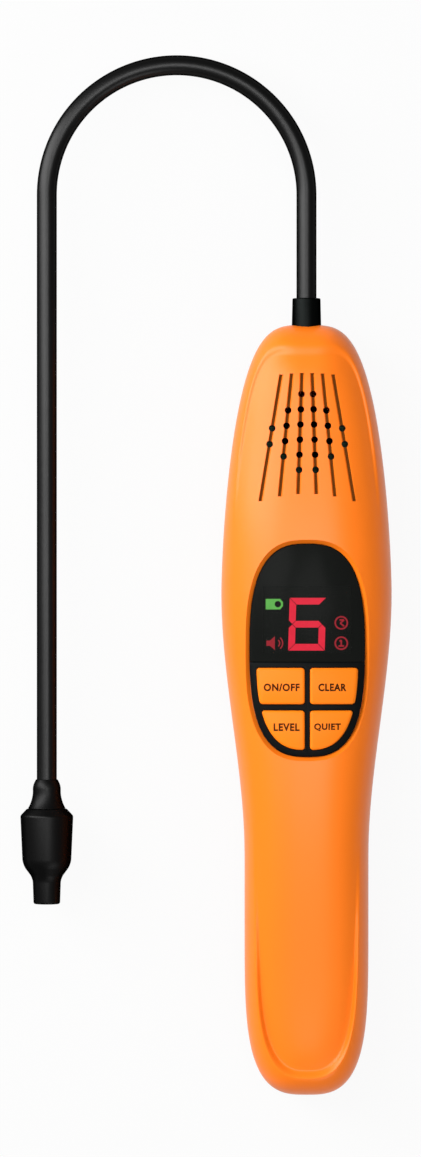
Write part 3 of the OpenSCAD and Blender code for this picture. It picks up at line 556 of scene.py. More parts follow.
def frontPlace(ring, j):
    zone, share = ring
    i, side = ringStep(j)
    a = turnAt(i)
    edgeY = edgePoint(i, shell["rim"])[1]
    rim = rimAt(a, edgeY)
    step = stepAt(a, edgeY)
    inset = {
        "rim": rim * share,
        "step": rim + step * share,
        "floor": rim + step + (reachAt(i) - rim - step) * share,
        "inner": wall + (reachAt(i) - wall) * share,
    }[zone]
    x, y = edgePoint(i, inset)
    height = innerHeight if zone == "inner" else frontHeight
    return side * x, y, height(inset, reachAt(i), a, y)


backLevel = (splitZ / (splitZ + shell["backOver"])) ** shell["backPower"]
backFlat = 1 - (1 - backLevel) ** (1 / shell["backPower"])
backShares = [backFlat * k / 14 for k in range(15)]
flatShares = [0.12, 0.3, 0.55, 0.8, 1]


def backPlace(ring, j):
    zone, share = ring
    i, side = ringStep(j)
    roundWidth = shell["backRound"]
    flatStart = shell["setback"] + backFlat * roundWidth
    inset = {
        "flat": flatStart + (reachAt(i) - flatStart) * share,
        "back": shell["setback"] + share * roundWidth,
        "inner": wall + share * roundWidth,
        "innerFlat": wall + roundWidth + (reachAt(i) - wall - roundWidth) * share,
    }[zone]
    x, y = edgePoint(i, inset)
    z = {
        "flat": 0.0,
        "back": max(0.0, splitZ - backHeight(share, splitZ + shell["backOver"])),
        "inner": splitZ - backHeight(share, splitZ - wall),
        "innerFlat": wall,
    }[zone]
    return side * x, y, z


def frontSkin():
    zones = {"inner": innerShares[::-1], "rim": rimShares, "step": stepShares, "floor": floorShares}
    return skinOf(zones, frontPlace)


def backSkin():
    tenths = [k / 10 for k in range(11)]
    zones = {"flat": flatShares[::-1], "back": backShares[::-1], "inner": tenths, "innerFlat": flatShares}
    return skinOf(zones, backPlace)


def skinOf(zones, place):
    rings = [(zone, share) for zone, shares in zones.items() for share in shares]
    mesh = ringStack(bmesh.new(), 2 * sideSteps, rings, place)
    bmesh.ops.remove_doubles(mesh, verts=mesh.verts, dist=0.002)
    bmesh.ops.dissolve_degenerate(mesh, edges=mesh.edges, dist=0.0005)
    return faceOut(mesh)


# Control panel: an oval set in the front, with a bulged face
panel = {
    "width": 33.0, "length": 60.6, "y": 17.2, "power": 2.75, "top": 30.1, "thick": 1.6, "bulge": 64.0,
    "bezel": 1.1, "bezelDepth": 1.6, "bezelLift": 0.01, "ledge": 1.0, "seamDrop": 3.3, "seamGap": 0.06,
    "fit": 0.1, "points": 160, "slice": 1.5, "rims": ((0.12, 0.2), (0.2, 0.06)),
}
seamY = panel["y"] - panel["seamDrop"]


def panelPoint(k, grow):
    a = 2 * math.pi * k / panel["points"] - math.pi / 2
    x = (panel["width"] / 2 + grow) * bow(math.cos(a), panel["power"])
    y = panel["y"] + (panel["length"] / 2 + grow) * bow(math.sin(a), panel["power"])
    return x, y


def bulgeAt(x, rise):
    return panel["top"] - panel["bulge"] + math.sqrt((panel["bulge"] + rise) ** 2 - x * x)


def pocketPlace(ring, k):
    grow, level = ring
    x, y = panelPoint(k + 0.5, grow)
    z = {
        "above": clearZ,
        "edge": frontAt(x, y) + panel["bezelLift"],
        "foot": frontAt(x, y) - panel["bezelDepth"],
        "seat": bulgeAt(x, -panel["thick"]),
        "below": splitZ + wall,
    }[level]
    return x, y, z


def panelPocket(mesh):
    rings = [(panel["bezel"], "above"), (panel["bezel"], "edge"), (0, "foot"), (0, "seat"),
             (-panel["ledge"], "seat"), (-panel["ledge"], "below")]
    return ringStack(mesh, panel["points"], rings, pocketPlace, capped=True)


# Grille: a fan of tapered grooves with a round field of holes; the grooves' floors carry painted shade
grille = {
    "count": 6, "angle": 3.75, "apex": 30.4, "start": 44.6, "run": 34.4, "topDrop": 1.0, "lowDrop": 3.2,
    "width": 1.4, "depth": 1.5, "slot": 0.8, "lip": 0.45, "over": 0.6,
    "stations": 26, "hole": 1.95, "pitch": 4.3, "firstHole": 6.0, "rows": 6,
}


def fanPoint(i, share):
    side = (2 * i / (grille["count"] - 1) - 1) ** 2
    top, low = grille["topDrop"] * side, grille["lowDrop"] * side
    radius = grille["start"] + top + (grille["run"] + low - top) * share
    a = math.radians(grille["angle"] * (i - (grille["count"] - 1) / 2))
    return radius * math.sin(a), endY + grille["apex"] - radius * math.cos(a)


def addGroove(mesh, i):
    right = [(grille["slot"] / 2, -grille["depth"]), (grille["slot"] / 2, -grille["lip"]),
             (grille["width"] / 2, 0), (grille["width"] / 2, grille["over"])]
    section = right + [(-across, rise) for across, rise in reversed(right)]

    def place(share, k):
        x, y = fanPoint(i, share)
        across, rise = section[k]
        return x + across, y, frontAt(x, y) + rise

    shares = [k / grille["stations"] for k in range(grille["stations"] + 1)]
    ringStack(mesh, len(section), shares, place, capped=True)
    tag = mesh.verts.layers.int["step"]
    # Faces below the lip take the second finish: painted shade for the shadow in the groove
    for face in mesh.faces:
        if all(section[corner[tag]][1] <= -grille["lip"] for corner in face.verts):
            face.material_index = 1
    return mesh


def addHoles(mesh):
    for i in range(grille["count"]):
        cut = int(abs(i - (grille["count"] - 1) / 2) - 0.5)
        for row in range(cut, grille["rows"] - cut):
            x, y = fanPoint(i, (grille["firstHole"] + row * grille["pitch"]) / grille["run"])
            addRod(mesh, grille["hole"] / 2, (x, y, splitZ + wall), (x, y, clearZ), 28)
    return mesh


# Inside the shells: the neck's seat and ribs, screw bosses, and posts for the board and the battery tray
neckSeat = {"radius": 4.3, "inner": 99.65, "past": 20.0, "ribHalf": 6.5, "ribTop": 21.5, "ribFoot": 4.7,
            "ribs": ((105.25, 106.85), (101.15, 102.75))}
bosses = {"radius": 3.0, "pilot": 1.5, "pilotLow": 1.0, "well": 2.8, "wellTop": 6.0, "top": 21.5,
          "places": ((9.0, endY - 19.5), (8.5, panel["y"] - panel["length"] / 2 - 12.5))}
posts = {"radius": 2.4, "cover": 1.0, "boardLow": 22.1, "boardPlaces": ((12.5, 55.0), (9.5, -17.1)),
         "trayLow": 18.9, "trayPlaces": ((0.0, -39.1), (0.0, -78.1))}


def bothSides(places):
    return [(side * x, y) for x, y in places for side in (-1, 1)]


# Rod that ends inside the front's wall
def addPost(mesh, radius, x, y, low):
    turns = [k * math.pi / 6 for k in range(12)]
    skin = min(frontAt(x + radius * math.cos(a), y + radius * math.sin(a)) for a in turns)
    return addRod(mesh, radius, (x, y, low), (x, y, skin - posts["cover"]))


def addRibs(mesh, foot, top):
    for low, high in neckSeat["ribs"]:
        addBlock(mesh, (-neckSeat["ribHalf"], low, foot), (neckSeat["ribHalf"], high, top))
    return mesh


def addBossRods(mesh, part, low, high):
    for x, y in bothSides(bosses["places"]):
        addRod(mesh, bosses[part], (x, y, low), (x, y, high))
    return mesh


def neckBore(mesh):
    inner, outer = (0, neckSeat["inner"], splitZ), (0, endY + neckSeat["past"], splitZ)
    return addRod(mesh, neckSeat["radius"], inner, outer, 64)


def makeFrontShell():
    piece = keepPiece("front_casing", frontSkin(), "shell", ("front_shell",))
    added = bmesh.new()
    for x, y in bothSides(bosses["places"]):
        addPost(added, bosses["radius"], x, y, splitZ)
    for x, y in bothSides(posts["boardPlaces"]):
        addPost(added, posts["radius"], x, y, posts["boardLow"])
    for x, y in posts["trayPlaces"]:
        addPost(added, posts["radius"], x, y, posts["trayLow"])
    carve(piece, addRibs(added, splitZ, neckSeat["ribTop"]), "UNION")
    carve(piece, panelPocket(bmesh.new()))
    grooves = bmesh.new()
    for i in range(grille["count"]):
        addGroove(grooves, i)
    # The grooves' floors and lower walls carry painted shade, a dark brown for the shadow inside them
    carve(piece, grooves, worn=("shell", "slot"))
    carve(piece, addHoles(bmesh.new()))
    carve(piece, addBossRods(neckBore(bmesh.new()), "pilot", splitZ - overlap, bosses["top"]))
    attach(piece, "body")


# Battery door: a dovetailed piece of the back
door = {"y": -29.1, "low": 13.6, "high": 15.6, "top": 12.0, "gap": 0.2, "tongueHalf": 3.8, "tongue": 4.0,
        "tongueThick": 1.2, "tongueSet": 0.5, "root": 2.0,
        "grooves": 5, "groovePitch": 3.0, "grooveDrop": 10.0, "grooveRadius": 0.7, "grooveHalf": 7.0}


def doorPrism(mesh, grow):
    low, high = door["low"] + grow, door["high"] + grow
    top = door["top"] + grow
    start = -shell["length"]
    corners = [(-low, start, -overlap), (low, start, -overlap), (high, start, top), (-high, start, top)]
    return pushOutline(mesh, corners, (0, door["y"] + grow - start, 0))


def makeRearShell():
    piece = keepPiece("rear_casing", backSkin(), "shell", ("rear_shell",))
    added = addBossRods(bmesh.new(), "radius", wall - overlap, splitZ)
    carve(piece, addRibs(added, neckSeat["ribFoot"], splitZ), "UNION")
    carve(piece, doorPrism(bmesh.new(), door["gap"]))
    carve(piece, addBossRods(neckBore(bmesh.new()), "pilot", bosses["pilotLow"], splitZ + overlap))
    carve(piece, addBossRods(bmesh.new(), "well", -overlap, bosses["wellTop"]))
    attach(piece, "body")


def makeDoor():
    piece = keepPiece("sliding_door", backSkin(), "shell", ("battery_door",))
    carve(piece, doorPrism(bmesh.new(), 0), "INTERSECT")
    half, root = door["tongueHalf"], door["y"] - door["root"]
    lift = wall + door["gap"]
    top = lift + door["tongueThick"]
    foot = addBlock(bmesh.new(), (-half, root, wall - overlap), (half, door["y"], top))
    carve(piece, foot, "UNION")
    tip = door["y"] + door["tongue"]
    tongue = addBlock(bmesh.new(), (-half, root + door["tongueSet"], lift), (half, tip, top))
    carve(piece, tongue, "UNION")
    thumb = bmesh.new()
    for k in range(door["grooves"]):
        y = door["y"] - door["grooveDrop"] - k * door["groovePitch"]
        addRod(thumb, door["grooveRadius"], (-door["grooveHalf"], y, 0), (door["grooveHalf"], y, 0), 24)
    carve(piece, thumb)
    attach(piece, "door")


makeCamera()
makeStudio()
makeFrontShell()
makeRearShell()
makeDoor()
print("shells made")


# Plates of the panel: an outline sliced lengthwise, pushed to a bulged face, with a rounded rim
def panelFace(grow):
    mesh = bmesh.new()
    made = bmesh.ops.create_circle(mesh, cap_ends=True, segments=panel["points"], radius=1.0)["verts"]
    for k, corner in enumerate(made):
        corner.co = (*panelPoint(k, grow), 0)
    return mesh


def trim(mesh, place, normal, cleared=True):
    whole = mesh.verts[:] + mesh.edges[:] + mesh.faces[:]
    bmesh.ops.bisect_plane(mesh, geom=whole, dist=0.0001, plane_co=place, plane_no=normal,
                           clear_outer=cleared)


def bulgedPlate(mesh, low, rise, rims):
    steps = int(panel["width"] / 2 / panel["slice"]) + 1
    for k in range(-steps, steps + 1):
        trim(mesh, (k * panel["slice"], 0, 0), (1, 0, 0), cleared=False)
    grown = bmesh.ops.extrude_face_region(mesh, geom=mesh.faces[:])["geom"]
    top = [part for part in grown if isinstance(part, bmesh.types.BMFace)]
    under = [corner for corner in mesh.verts if corner not in set(cornersOf(grown))]
    for corner in under:
        corner.co.z = low(corner.co.x)
    drops = {}
    for width, drop in rims:
        bmesh.ops.inset_region(mesh, faces=top, thickness=width, use_even_offset=True, use_boundary=True)
        inside = {corner for face in top for corner in face.verts}
        for corner in mesh.verts:
            if corner not in inside and corner not in drops and corner not in under:
                drops[corner] = drop
    for corner in mesh.verts:
        if corner not in under:
            corner.co.z = bulgeAt(corner.co.x, rise) - drops.get(corner, 0)
    return faceOut(mesh)


# The panel's part on one side of the seam: 1 for the window, -1 for the key frame
def seamPlate(side):
    mesh = panelFace(-panel["fit"])
    trim(mesh, (0, seamY + side * panel["seamGap"] / 2, 0), (0, -side, 0))
    return bulgedPlate(mesh, lambda x: bulgeAt(x, -panel["thick"]), 0, panel["rims"])


def makeWindow():
    piece = keepPiece("display_window", seamPlate(1), "window", ("display_lens",), 40)
    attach(piece, "body")


# Keys: quarters of the oval below the seam
keys = {
    "y": panel["y"] - 16.2, "gapX": 1.5, "gapY": 1.8, "row": 10.3, "inset": 2.0, "corner": 0.9, "rise": 0.7,
    "slack": 0.2, "base": 25.7, "rims": ((0.22, 0.42), (0.42, 0.14)), "sharpTurn": 30.0, "crowding": 1.5,
    "labels": {
        "button_power": ("power_key", "ON/OFF", -7.3, 6.7, 10.2),
        "button_reset": ("reset_key", "CLEAR", 7.1, 6.7, 8.0),
        "button_sens": ("sens_key", "LEVEL", -5.9, -4.6, 7.4),
        "button_mute": ("mute_key", "QUIET", 5.7, -4.6, 7.6),
    },
    "letterTall": 2.2, "letterThick": 0.05, "letterPush": 0.02, "letterBold": 0.04, "letterRoom": 1.12,
}


def keyFace(right, upper, grow):
    mesh = panelFace(-keys["inset"] + grow)
    side = 1 if right else -1
    half = keys["gapX"] / 2 - grow
    trim(mesh, (side * half, 0, 0), (-side, 0, 0))
    middle = keys["y"] + (keys["gapY"] / 2 - grow) * (1 if upper else -1)
    trim(mesh, (0, middle, 0), (0, -1 if upper else 1, 0))
    if upper:
        trim(mesh, (0, keys["y"] + keys["gapY"] / 2 + keys["row"] + grow, 0), (0, 1, 0))
    sharp = [corner for corner in mesh.verts if cornerTurn(corner) > keys["sharpTurn"]]
    room = keys["crowding"] * (keys["corner"] + grow)
    crowd = [corner for corner in mesh.verts if corner not in sharp
             and any((corner.co - point.co).length < room for point in sharp)]
    bmesh.ops.dissolve_verts(mesh, verts=crowd)
    roundOff(mesh, sharp, keys["corner"] + grow, 5, "VERTICES")
    return mesh


def cornerTurn(corner):
    first, second = [edge.other_vert(corner).co - corner.co for edge in corner.link_edges]
    return 180 - math.degrees(first.angle(second))


def makeKeyFrame():
    piece = keepPiece("key_surround", seamPlate(-1), "frame", ("key_frame",), 40)
    for right in (False, True):
        for upper in (False, True):
            hole = keyFace(right, upper, keys["slack"])
            grown = bmesh.ops.extrude_face_region(hole, geom=hole.faces[:])["geom"]
            bmesh.ops.translate(hole, vec=(0, 0, clearZ), verts=cornersOf(grown))
            carve(piece, hole, sharp=40)
    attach(piece, "body")


def makeKeys():
    for node, (body, word, x, y, wide) in keys["labels"].items():
        mesh = keyFace(x > 0, node in ("button_power", "button_reset"), 0)
        bulgedPlate(mesh, lambda across: keys["base"], keys["rise"], keys["rims"])
        piece = keepPiece(node.replace("button", "key"), mesh, "key", (node,), 50)
        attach(piece, body)
        makeLabel(node.replace("button", "label"), body, word, x, y, wide)


def makeLabel(name, body, word, x, y, wide):
    curve = bpy.data.curves.new(name, "FONT")
    curve.body = word
    curve.align_x = "CENTER"
    curve.align_y = "CENTER"
    curve.extrude = keys["letterPush"]
    curve.offset = keys["letterBold"]
    curve.space_character = keys["letterRoom"]
    curve.resolution_u = 4
    draft = bpy.data.objects.new(name + "_draft", curve)
    scene.collection.objects.link(draft)
    data = evaluatedMesh(draft)
    bpy.data.objects.remove(draft)
    mesh = bmesh.new()
    mesh.from_mesh(data)
    bpy.data.meshes.remove(data)
    bmesh.ops.remove_doubles(mesh, verts=mesh.verts, dist=0.0001)
    lows = Vector([min(corner.co[axis] for corner in mesh.verts) for axis in range(3)])
    highs = Vector([max(corner.co[axis] for corner in mesh.verts) for axis in range(3)])
    middle, size = (lows + highs) / 2, highs - lows
    for corner in mesh.verts:
        share = corner.co - middle
        across = x + share.x / size.x * wide
        along = y + share.y / size.y * keys["letterTall"]
        up = share.z / size.z * keys["letterThick"]
        corner.co = (across, along, bulgeAt(across, keys["rise"]) + up)
    piece = keepPiece(name, mesh, "print", (), 30)
    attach(piece, body)


makeWindow()
makeKeyFrame()
makeKeys()
print("panel made")


# Display: one lit figure with mitred strokes, and small signs beside it
display = {
    "face": 26.4, "thick": 0.25, "y": panel["y"] + 7.4,
    "wide": 10.4, "tall": 15.0, "stroke": 1.9, "gap": 0.1, "slant": 0.03,
    "lit": ("top", "middle", "bottom", "upperLeft", "lowerLeft", "lowerRight"),
    "left": -9.3, "right": 9.7, "high": panel["y"] + 13.1, "mid": panel["y"] + 7.8, "low": panel["y"] + 2.0,
    "line": 0.45, "ring": 1.95, "waves": (1.35, 2.2), "waveX": 0.3, "waveLine": 0.36, "waveArc": (-50, 100),
    "horn": [(-2.3, -0.75), (-1.3, -0.75), (0.1, -1.95), (0.1, 1.95), (-1.3, 0.75), (-2.3, 0.75)],
    "cell": [(-2.5, -1.5), (1.6, -1.5), (2.4, -0.6), (2.4, 0.6), (1.6, 1.5), (-2.5, 1.5)],
    "empty": (0.95, 0.9),
    "upperSign": (((-0.5, 0.8), (0.8, 0.8)), ((0.8, 0.8), (-0.3, -0.1)), ((-0.3, -0.1), (0.8, -1.0))),
    "lowerSign": (((0, 0.9), (0, -0.8)), ((-0.8, -0.8), (0.8, -0.8)), ((-0.5, 0.5), (0, 0.9))),
}


def pushSign(mesh, corners, x, y):
    flat = [(x + across, y + along, display["face"]) for across, along in corners]
    return pushOutline(mesh, flat, (0, 0, display["thick"]))


def litFigure():
    w, h, s, g = display["wide"] / 2, display["tall"] / 2, display["stroke"], display["gap"]
    half = s / 2
    shapes = {
        "top": [(-w + g, h), (w - g, h), (w - s - g, h - s), (-w + s + g, h - s)],
        "middle": [(-w + half + g, 0), (-w + s + g, half), (w - s - g, half), (w - half - g, 0),
                   (w - s - g, -half), (-w + s + g, -half)],
        "upperLeft": [(-w, h - g), (-w + s, h - s - g), (-w + s, half + g), (-w + half, g), (-w, half + g)],
    }
    flips = {"bottom": ("top", 1), "lowerLeft": ("upperLeft", 1), "lowerRight": ("upperLeft", -1)}
    mesh = bmesh.new()
    for name in display["lit"]:
        source, side = flips.get(name, (name, 1))
        up = -1 if name in flips else 1
        corners = [(x * side + display["slant"] * y * up, y * up) for x, y in shapes[source]]
        pushSign(mesh, corners, 0, display["y"])
    return faceOut(mesh)


def arcBand(mesh, x, y, radius, line, start, turn, steps=20):
    thick = display["thick"]
    section = ((radius - line, 0), (radius, 0), (radius, thick), (radius - line, thick))
    edge = [mesh.verts.new((x + across, y, display["face"] + up)) for across, up in section]
    face = mesh.faces.new(edge)
    bmesh.ops.rotate(mesh, verts=edge, cent=(x, y, 0), matrix=Matrix.Rotation(math.radians(start), 3, "Z"))
    full = abs(turn) >= 360
    geometry = face.edges[:] if full else [face]
    bmesh.ops.spin(mesh, geom=geometry, cent=(x, y, 0), axis=(0, 0, 1), angle=math.radians(turn),
                   steps=steps, use_merge=full)
    if full:
        bmesh.ops.delete(mesh, geom=[face], context="FACES_ONLY")
    return mesh


def makeDisplay():
    digit = keepPiece("lit_figure", litFigure(), "red", ("lit_segments",), 30)
    signs = bmesh.new()
    left, right, line = display["left"], display["right"], display["line"]
    pushSign(signs, display["horn"], left, display["low"])
    waveX, waveLine = left + display["waveX"], display["waveLine"]
    for radius in display["waves"]:
        arcBand(signs, waveX, display["low"], radius, waveLine, *display["waveArc"])
    for y, strokes in ((display["mid"], display["upperSign"]), (display["low"], display["lowerSign"])):
        arcBand(signs, right, y, display["ring"], line, 0, 360, 32)
        for (fromX, fromY), (toX, toY) in strokes:
            along = Vector((toX - fromX, toY - fromY)).normalized() * line / 2
            pushSign(signs, [(fromX - along.y, fromY + along.x), (fromX + along.y, fromY - along.x),
                             (toX + along.y, toY - along.x), (toX - along.y, toY + along.x)], right, y)
    bmesh.ops.remove_doubles(signs, verts=signs.verts, dist=0.0001)
    signs = keepPiece("lit_signs", faceOut(signs), "dimRed", ("lit_icons",), 30)
    battery = faceOut(pushSign(bmesh.new(), display["cell"], left, display["high"]))
    battery = keepPiece("lit_battery", battery, "green", ("battery_icon",), 30)
    middle, radius = display["empty"]
    x, y = left + middle, display["high"]
    low, high = display["face"] - overlap, display["face"] + overlap
    carve(battery, addRod(bmesh.new(), radius, (x, y, low), (x, y, high), 28))
    for piece in (digit, signs, battery):
        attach(piece, "body")


makeDisplay()
print("display made")


# Gooseneck: nine lengths of sheath, one across each hinge
neck = {"radius": 2.865, "bend": 37.2, "bendY": 147.45, "drop": 167.4, "bury": 5.0, "start": -47.8,
        "sides": 40, "arcStep": 1.5, "straightStep": 2.5, "hinge": 30.0, "legHinges": (0.33, 0.67)}


def neckPlace(angle, rise):
    centre = Matrix.Translation((-neck["bend"], neck["bendY"], splitZ))
    out = Matrix.Translation((neck["bend"], rise, 0))
    return centre @ Matrix.Rotation(math.radians(angle), 4, "Z") @ out


def neckPoint(angle, rise):
    return neckPlace(angle, rise).to_translation() * mm


def neckLength(startAngle, startRise, endAngle, endRise):
    mesh = bmesh.new()
    ring = neckPlace(startAngle, startRise) @ Matrix.Rotation(math.pi / 2, 4, "X")
    bmesh.ops.create_circle(mesh, segments=neck["sides"], radius=neck["radius"], matrix=ring)
    first = loop = mesh.edges[:]
    if startRise < 0:
        loop = pushNeck(mesh, loop, startAngle, -startRise)
    if endAngle > startAngle:
        turn = endAngle - startAngle
        spun = bmesh.ops.spin(mesh, geom=loop, cent=(-neck["bend"], neck["bendY"], splitZ), axis=(0, 0, 1),
                              angle=math.radians(turn), steps=int(turn / neck["arcStep"]))
        loop = edgesOf(spun["geom_last"])
    if endRise > max(0, startRise):
        loop = pushNeck(mesh, loop, endAngle, endRise - max(0, startRise))
    for end in (first, loop):
        bmesh.ops.contextual_create(mesh, geom=end)
    return faceOut(mesh)


def pushNeck(mesh, loop, angle, length):
    steps = max(2, int(length / neck["straightStep"]))
    ahead = Matrix.Rotation(math.radians(angle), 3, "Z") @ Vector((0, length / steps, 0))
    for step in range(steps):
        grown = bmesh.ops.extrude_edge_only(mesh, edges=loop)["geom"]
        bmesh.ops.translate(mesh, vec=ahead, verts=cornersOf(grown))
        loop = edgesOf(grown)
    return loop


def makeNeck():
    legA, legB = [neck["drop"] * share for share in neck["legHinges"]]
    end = neck["drop"] + neck["bury"]
    half = neck["hinge"] / 2
    stops = [(0, neck["start"])] + [(half + neck["hinge"] * k, 0) for k in range(6)]
    stops += [(180, legA / 2), (180, (legA + legB) / 2), (180, end)]
    near = neck["bend"] * math.radians(half)
    for k in range(9):
        mesh = neckLength(*stops[k], *stops[k + 1])
        nodes = [f"gooseneck_link_{k + 1}"] + (["gooseneck_base"] if k == 0 else [])
        piece = keepPiece(f"neck_sheath_{k + 1}", mesh, "neck", nodes, 40)
        before = neckPoint(*stops[k])
        after = neckPoint(*stops[k + 1])
        if k == 0:
            before = neckPoint(0, -near)
        if k == 6:
            after = neckPoint(180, near)
        if k == 8:
            after = neckPoint(180, 2 * legB - stops[k][1])
        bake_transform(piece)


makeNeck()
print("gooseneck made")


# Turned pieces: a profile of (radius, along, rounding) spun about its axis
def spunPiece(profile, place, steps=72):
    mesh = bmesh.new()
    made = [mesh.verts.new((radius, 0, along)) for radius, along, rounding in profile]
    for first, second in zip(made, made[1:]):
        mesh.edges.new((first, second))
    for corner, (radius, along, rounding) in zip(made, profile):
        if rounding:
            roundOff(mesh, [corner], rounding, 6, "VERTICES")
    bmesh.ops.spin(mesh, geom=mesh.edges[:] + mesh.verts[:], axis=(0, 0, 1), angle=2 * math.pi, steps=steps,
                   use_merge=True)
    bmesh.ops.remove_doubles(mesh, verts=mesh.verts, dist=0.0005)
    bmesh.ops.transform(faceOut(mesh), matrix=place, verts=mesh.verts)
    return mesh


head = {"mouth": 3.1, "collar": 4.0, "collarStart": 1.7, "flareStart": 6.0, "flare": 5.4, "collarLen": 8.3,
        "spigot": 4.4, "spigotLen": 3.2, "bore": 2.9, "capBore": 4.5, "capLip": 5.7, "cap": 7.58,
        "capLow": 6.95, "capTop": 8.4, "shoulder": 10.4, "ceiling": 10.9, "barrelEnd": 24.4, "wall": 1.3,
        "nozzle": 4.05, "nozzleStart": 28.3, "tipRadius": 3.8, "tip": 35.7, "tipBore": 2.6, "tipSeat": 27.5}
ferrule = {"radius": 4.2, "flange": 6.2, "flangeY": 102.85, "flangeThick": 2.3, "out": 7.6, "taper": 0.18,
           "bore": 2.9}


def makeHead():
    down = Matrix.Rotation(math.pi / 2, 4, "X")
    place = Matrix.Translation((-2 * neck["bend"], neck["bendY"] - neck["drop"], splitZ)) @ down
    h = head
    base, bury = h["collarLen"], neck["bury"]
    spigotEnd = base + h["spigotLen"]
    collar = [(h["bore"], 0, 0), (h["mouth"], 0, 0.15), (h["collar"], h["collarStart"], 1.0),
              (h["collar"], h["flareStart"], 2.4), (h["flare"], base, 0.12), (h["spigot"], base, 0),
              (h["spigot"], spigotEnd, 0.3), (0, spigotEnd, 0), (0, bury, 0), (h["bore"], bury, 0),
              (h["bore"], 0, 0)]
    cap = [(h["capBore"], h["capTop"], 0), (h["capLip"], h["capTop"], 0.25), (h["cap"], h["shoulder"], 0.4),
           (h["capLow"], h["barrelEnd"], 1.6), (h["nozzle"], h["nozzleStart"], 1.3),
           (h["tipRadius"], h["tip"], 0.6), (h["tipBore"], h["tip"], 0.15), (h["tipBore"], h["tipSeat"], 0),
           (h["capLow"] - h["wall"], h["barrelEnd"], 0), (h["cap"] - h["wall"], h["ceiling"], 0),
           (h["capBore"], h["ceiling"], 0), (h["capBore"], h["capTop"], 0)]
    mesh = spunPiece(collar, place)
    piece = keepPiece("probe_collar", mesh, "head", ("head_collar",), 36)
    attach(piece, "neck_9")
    mesh = spunPiece(cap, place)
    piece = keepPiece("probe_cap", mesh, "head", ("sensor_cap",), 36)
    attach(piece, "cap")


def makeFerrule():
    up = Matrix.Rotation(-math.pi / 2, 4, "X")
    f = ferrule
    place = Matrix.Translation((0, f["flangeY"], splitZ)) @ up
    tip = endY + f["out"] - f["flangeY"]
    profile = [(f["bore"], 0, 0), (f["flange"], 0, 0), (f["flange"], f["flangeThick"], 0),
               (f["radius"], f["flangeThick"], 0), (f["radius"], tip - f["out"], 0),
               (f["radius"] - f["taper"], tip, 0.3), (f["bore"], tip, 0), (f["bore"], 0, 0)]
    mesh = spunPiece(profile, place)
    piece = keepPiece("probe_ferrule", mesh, "ferrule", ("ferrule",), 36)
    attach(piece, "body")


makeHead()
makeFerrule()
print("probe head made")


# Case screws with a cross in the head, and the two cell springs
screws = {"head": 2.6, "headLow": 4.2, "headTop": 6.0, "edge": 0.35, "shank": 1.45, "shankLow": 5.8,
          "tip": 21.5, "cross": ((1.6, 0.32), (0.32, 1.6)), "crossTop": 5.1}
springs = {"wire": 0.4, "wide": 4.2, "narrow": 2.4, "turns": 5, "steps": 28, "length": 4.0, "x": 7.2,
           "z": 10.1, "ends": ((-1, -85.7, 1), (1, -31.5, -1))}


def makeScrews():
    solid = bmesh.new()
    cross = bmesh.new()
    low = screws["headLow"]
    for x, y in bothSides(bosses["places"]):
        addRod(solid, screws["head"], (x, y, low), (x, y, screws["headTop"]), 40)
        addRod(solid, screws["shank"], (x, y, screws["shankLow"]), (x, y, screws["tip"]), 24)
        for wide, tall in screws["cross"]:
            addBlock(cross, (x - wide, y - tall, low - overlap), (x + wide, y + tall, screws["crossTop"]))
    faceOut(solid)
    rims = [edge for edge in solid.edges if all(abs(end.co.z - low) < 0.001 for end in edge.verts)]
    roundOff(solid, rims, screws["edge"], 3, "EDGES")
    piece = keepPiece("casing_screws", solid, "steel", ("case_screws",), 36)
    carve(piece, cross)
    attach(piece, "body")


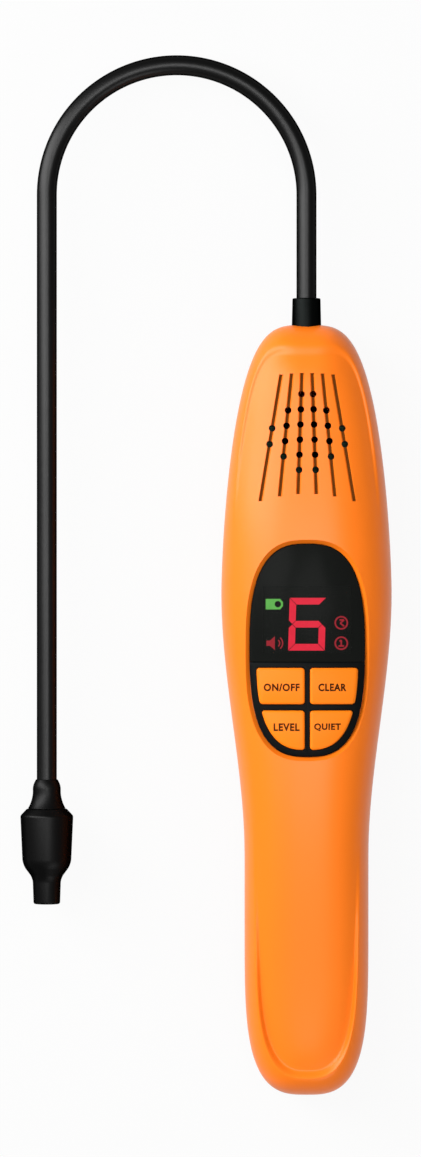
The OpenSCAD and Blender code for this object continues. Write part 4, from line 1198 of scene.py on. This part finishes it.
def makeSprings():
    mesh = bmesh.new()
    total = springs["turns"] * springs["steps"]
    run = springs["length"] - 2 * springs["wire"]
    for side, seat, away in springs["ends"]:
        axisX = side * springs["x"]
        start = Matrix.Translation((axisX + springs["wide"], seat + away * springs["wire"], springs["z"]))
        made = bmesh.ops.create_circle(mesh, segments=10, radius=springs["wire"], matrix=start)["verts"]
        loop = edgesAt(made)
        spun = bmesh.ops.spin(mesh, geom=loop, cent=(axisX, seat, springs["z"]), axis=(0, 1, 0),
                              dvec=(0, away * run / total, 0), angle=2 * math.pi * springs["turns"],
                              steps=total)
        for end in (loop, edgesOf(spun["geom_last"])):
            bmesh.ops.contextual_create(mesh, geom=end)
        for corner in mesh.verts:
            if corner.co.x * side > 0:
                share = abs(corner.co.y - seat) / springs["length"]
                offset = Vector((corner.co.x - axisX, 0, corner.co.z - springs["z"]))
                corner.co -= offset.normalized() * (springs["wide"] - springs["narrow"]) * share
    piece = keepPiece("cell_springs", faceOut(mesh), "steel", ("battery_springs",), 60)
    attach(piece, "body")


makeScrews()
makeSprings()
print("screws and springs made")

# Inner pieces keep their solids and get their finish
innerFinishes = {
    "board": ["main_board"],
    "block": ["display_module"],
    "chip": ["key_switches", "controller_chip", "battery_holder"],
    "felt": ["sounder"],
    "pale": ["sensor_connector", "sensor_socket"],
    "wire": ["sensor_lead", "battery_leads"],
    "cell": ["battery_left", "battery_right"],
    "steel": ["battery_contacts", "board_screws", "holder_screws", "sensor_element"],
    "mesh": ["tip_filter"],
}
for finish, nodes in innerFinishes.items():
    for node in nodes:
        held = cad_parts[node].data
        held.materials.clear()
        held.materials.append(finishes[finish])
print("inner pieces finished")


# Floor: white to the camera and in reflections, with the object's shadow kept
def makeFloor():
    mesh = bmesh.new()
    bmesh.ops.create_grid(mesh, x_segments=4, y_segments=4, size=studio["floorSize"] / 2)
    bmesh.ops.translate(mesh, vec=(0, 0, -studio["floorDrop"] * mm), verts=mesh.verts)
    data = bpy.data.meshes.new("floor")
    mesh.to_mesh(data)
    mesh.free()
    floor = bpy.data.objects.new("floor", data)
    scene.collection.objects.link(floor)
    material = bpy.data.materials.new("white_floor")
    material.use_nodes = True
    tree = material.node_tree
    tree.nodes.remove(tree.nodes["Principled BSDF"])
    wire = Wire(tree)
    rays = ("Is Camera Ray", "Is Glossy Ray", "Is Transmission Ray")
    camera, glossy, through = [wire.add("ShaderNodeLightPath", out=name) for name in rays]
    seen = wire.math("MAXIMUM", wire.math("MAXIMUM", camera, glossy), through)
    paper = wire.add("ShaderNodeBsdfDiffuse", {}, {"Color": colour(1, 1, 1, studio["floorWhite"])})
    white = wire.add("ShaderNodeEmission", {}, {"Color": (1, 1, 1, 1), "Strength": 1.0})
    mixed = wire.add("ShaderNodeMixShader", {}, {0: seen * studio["floorShare"], 1: paper, 2: white})
    tree.links.new(mixed.socket, tree.nodes["Material Output"].inputs["Surface"])
    data.materials.append(material)


makeFloor()
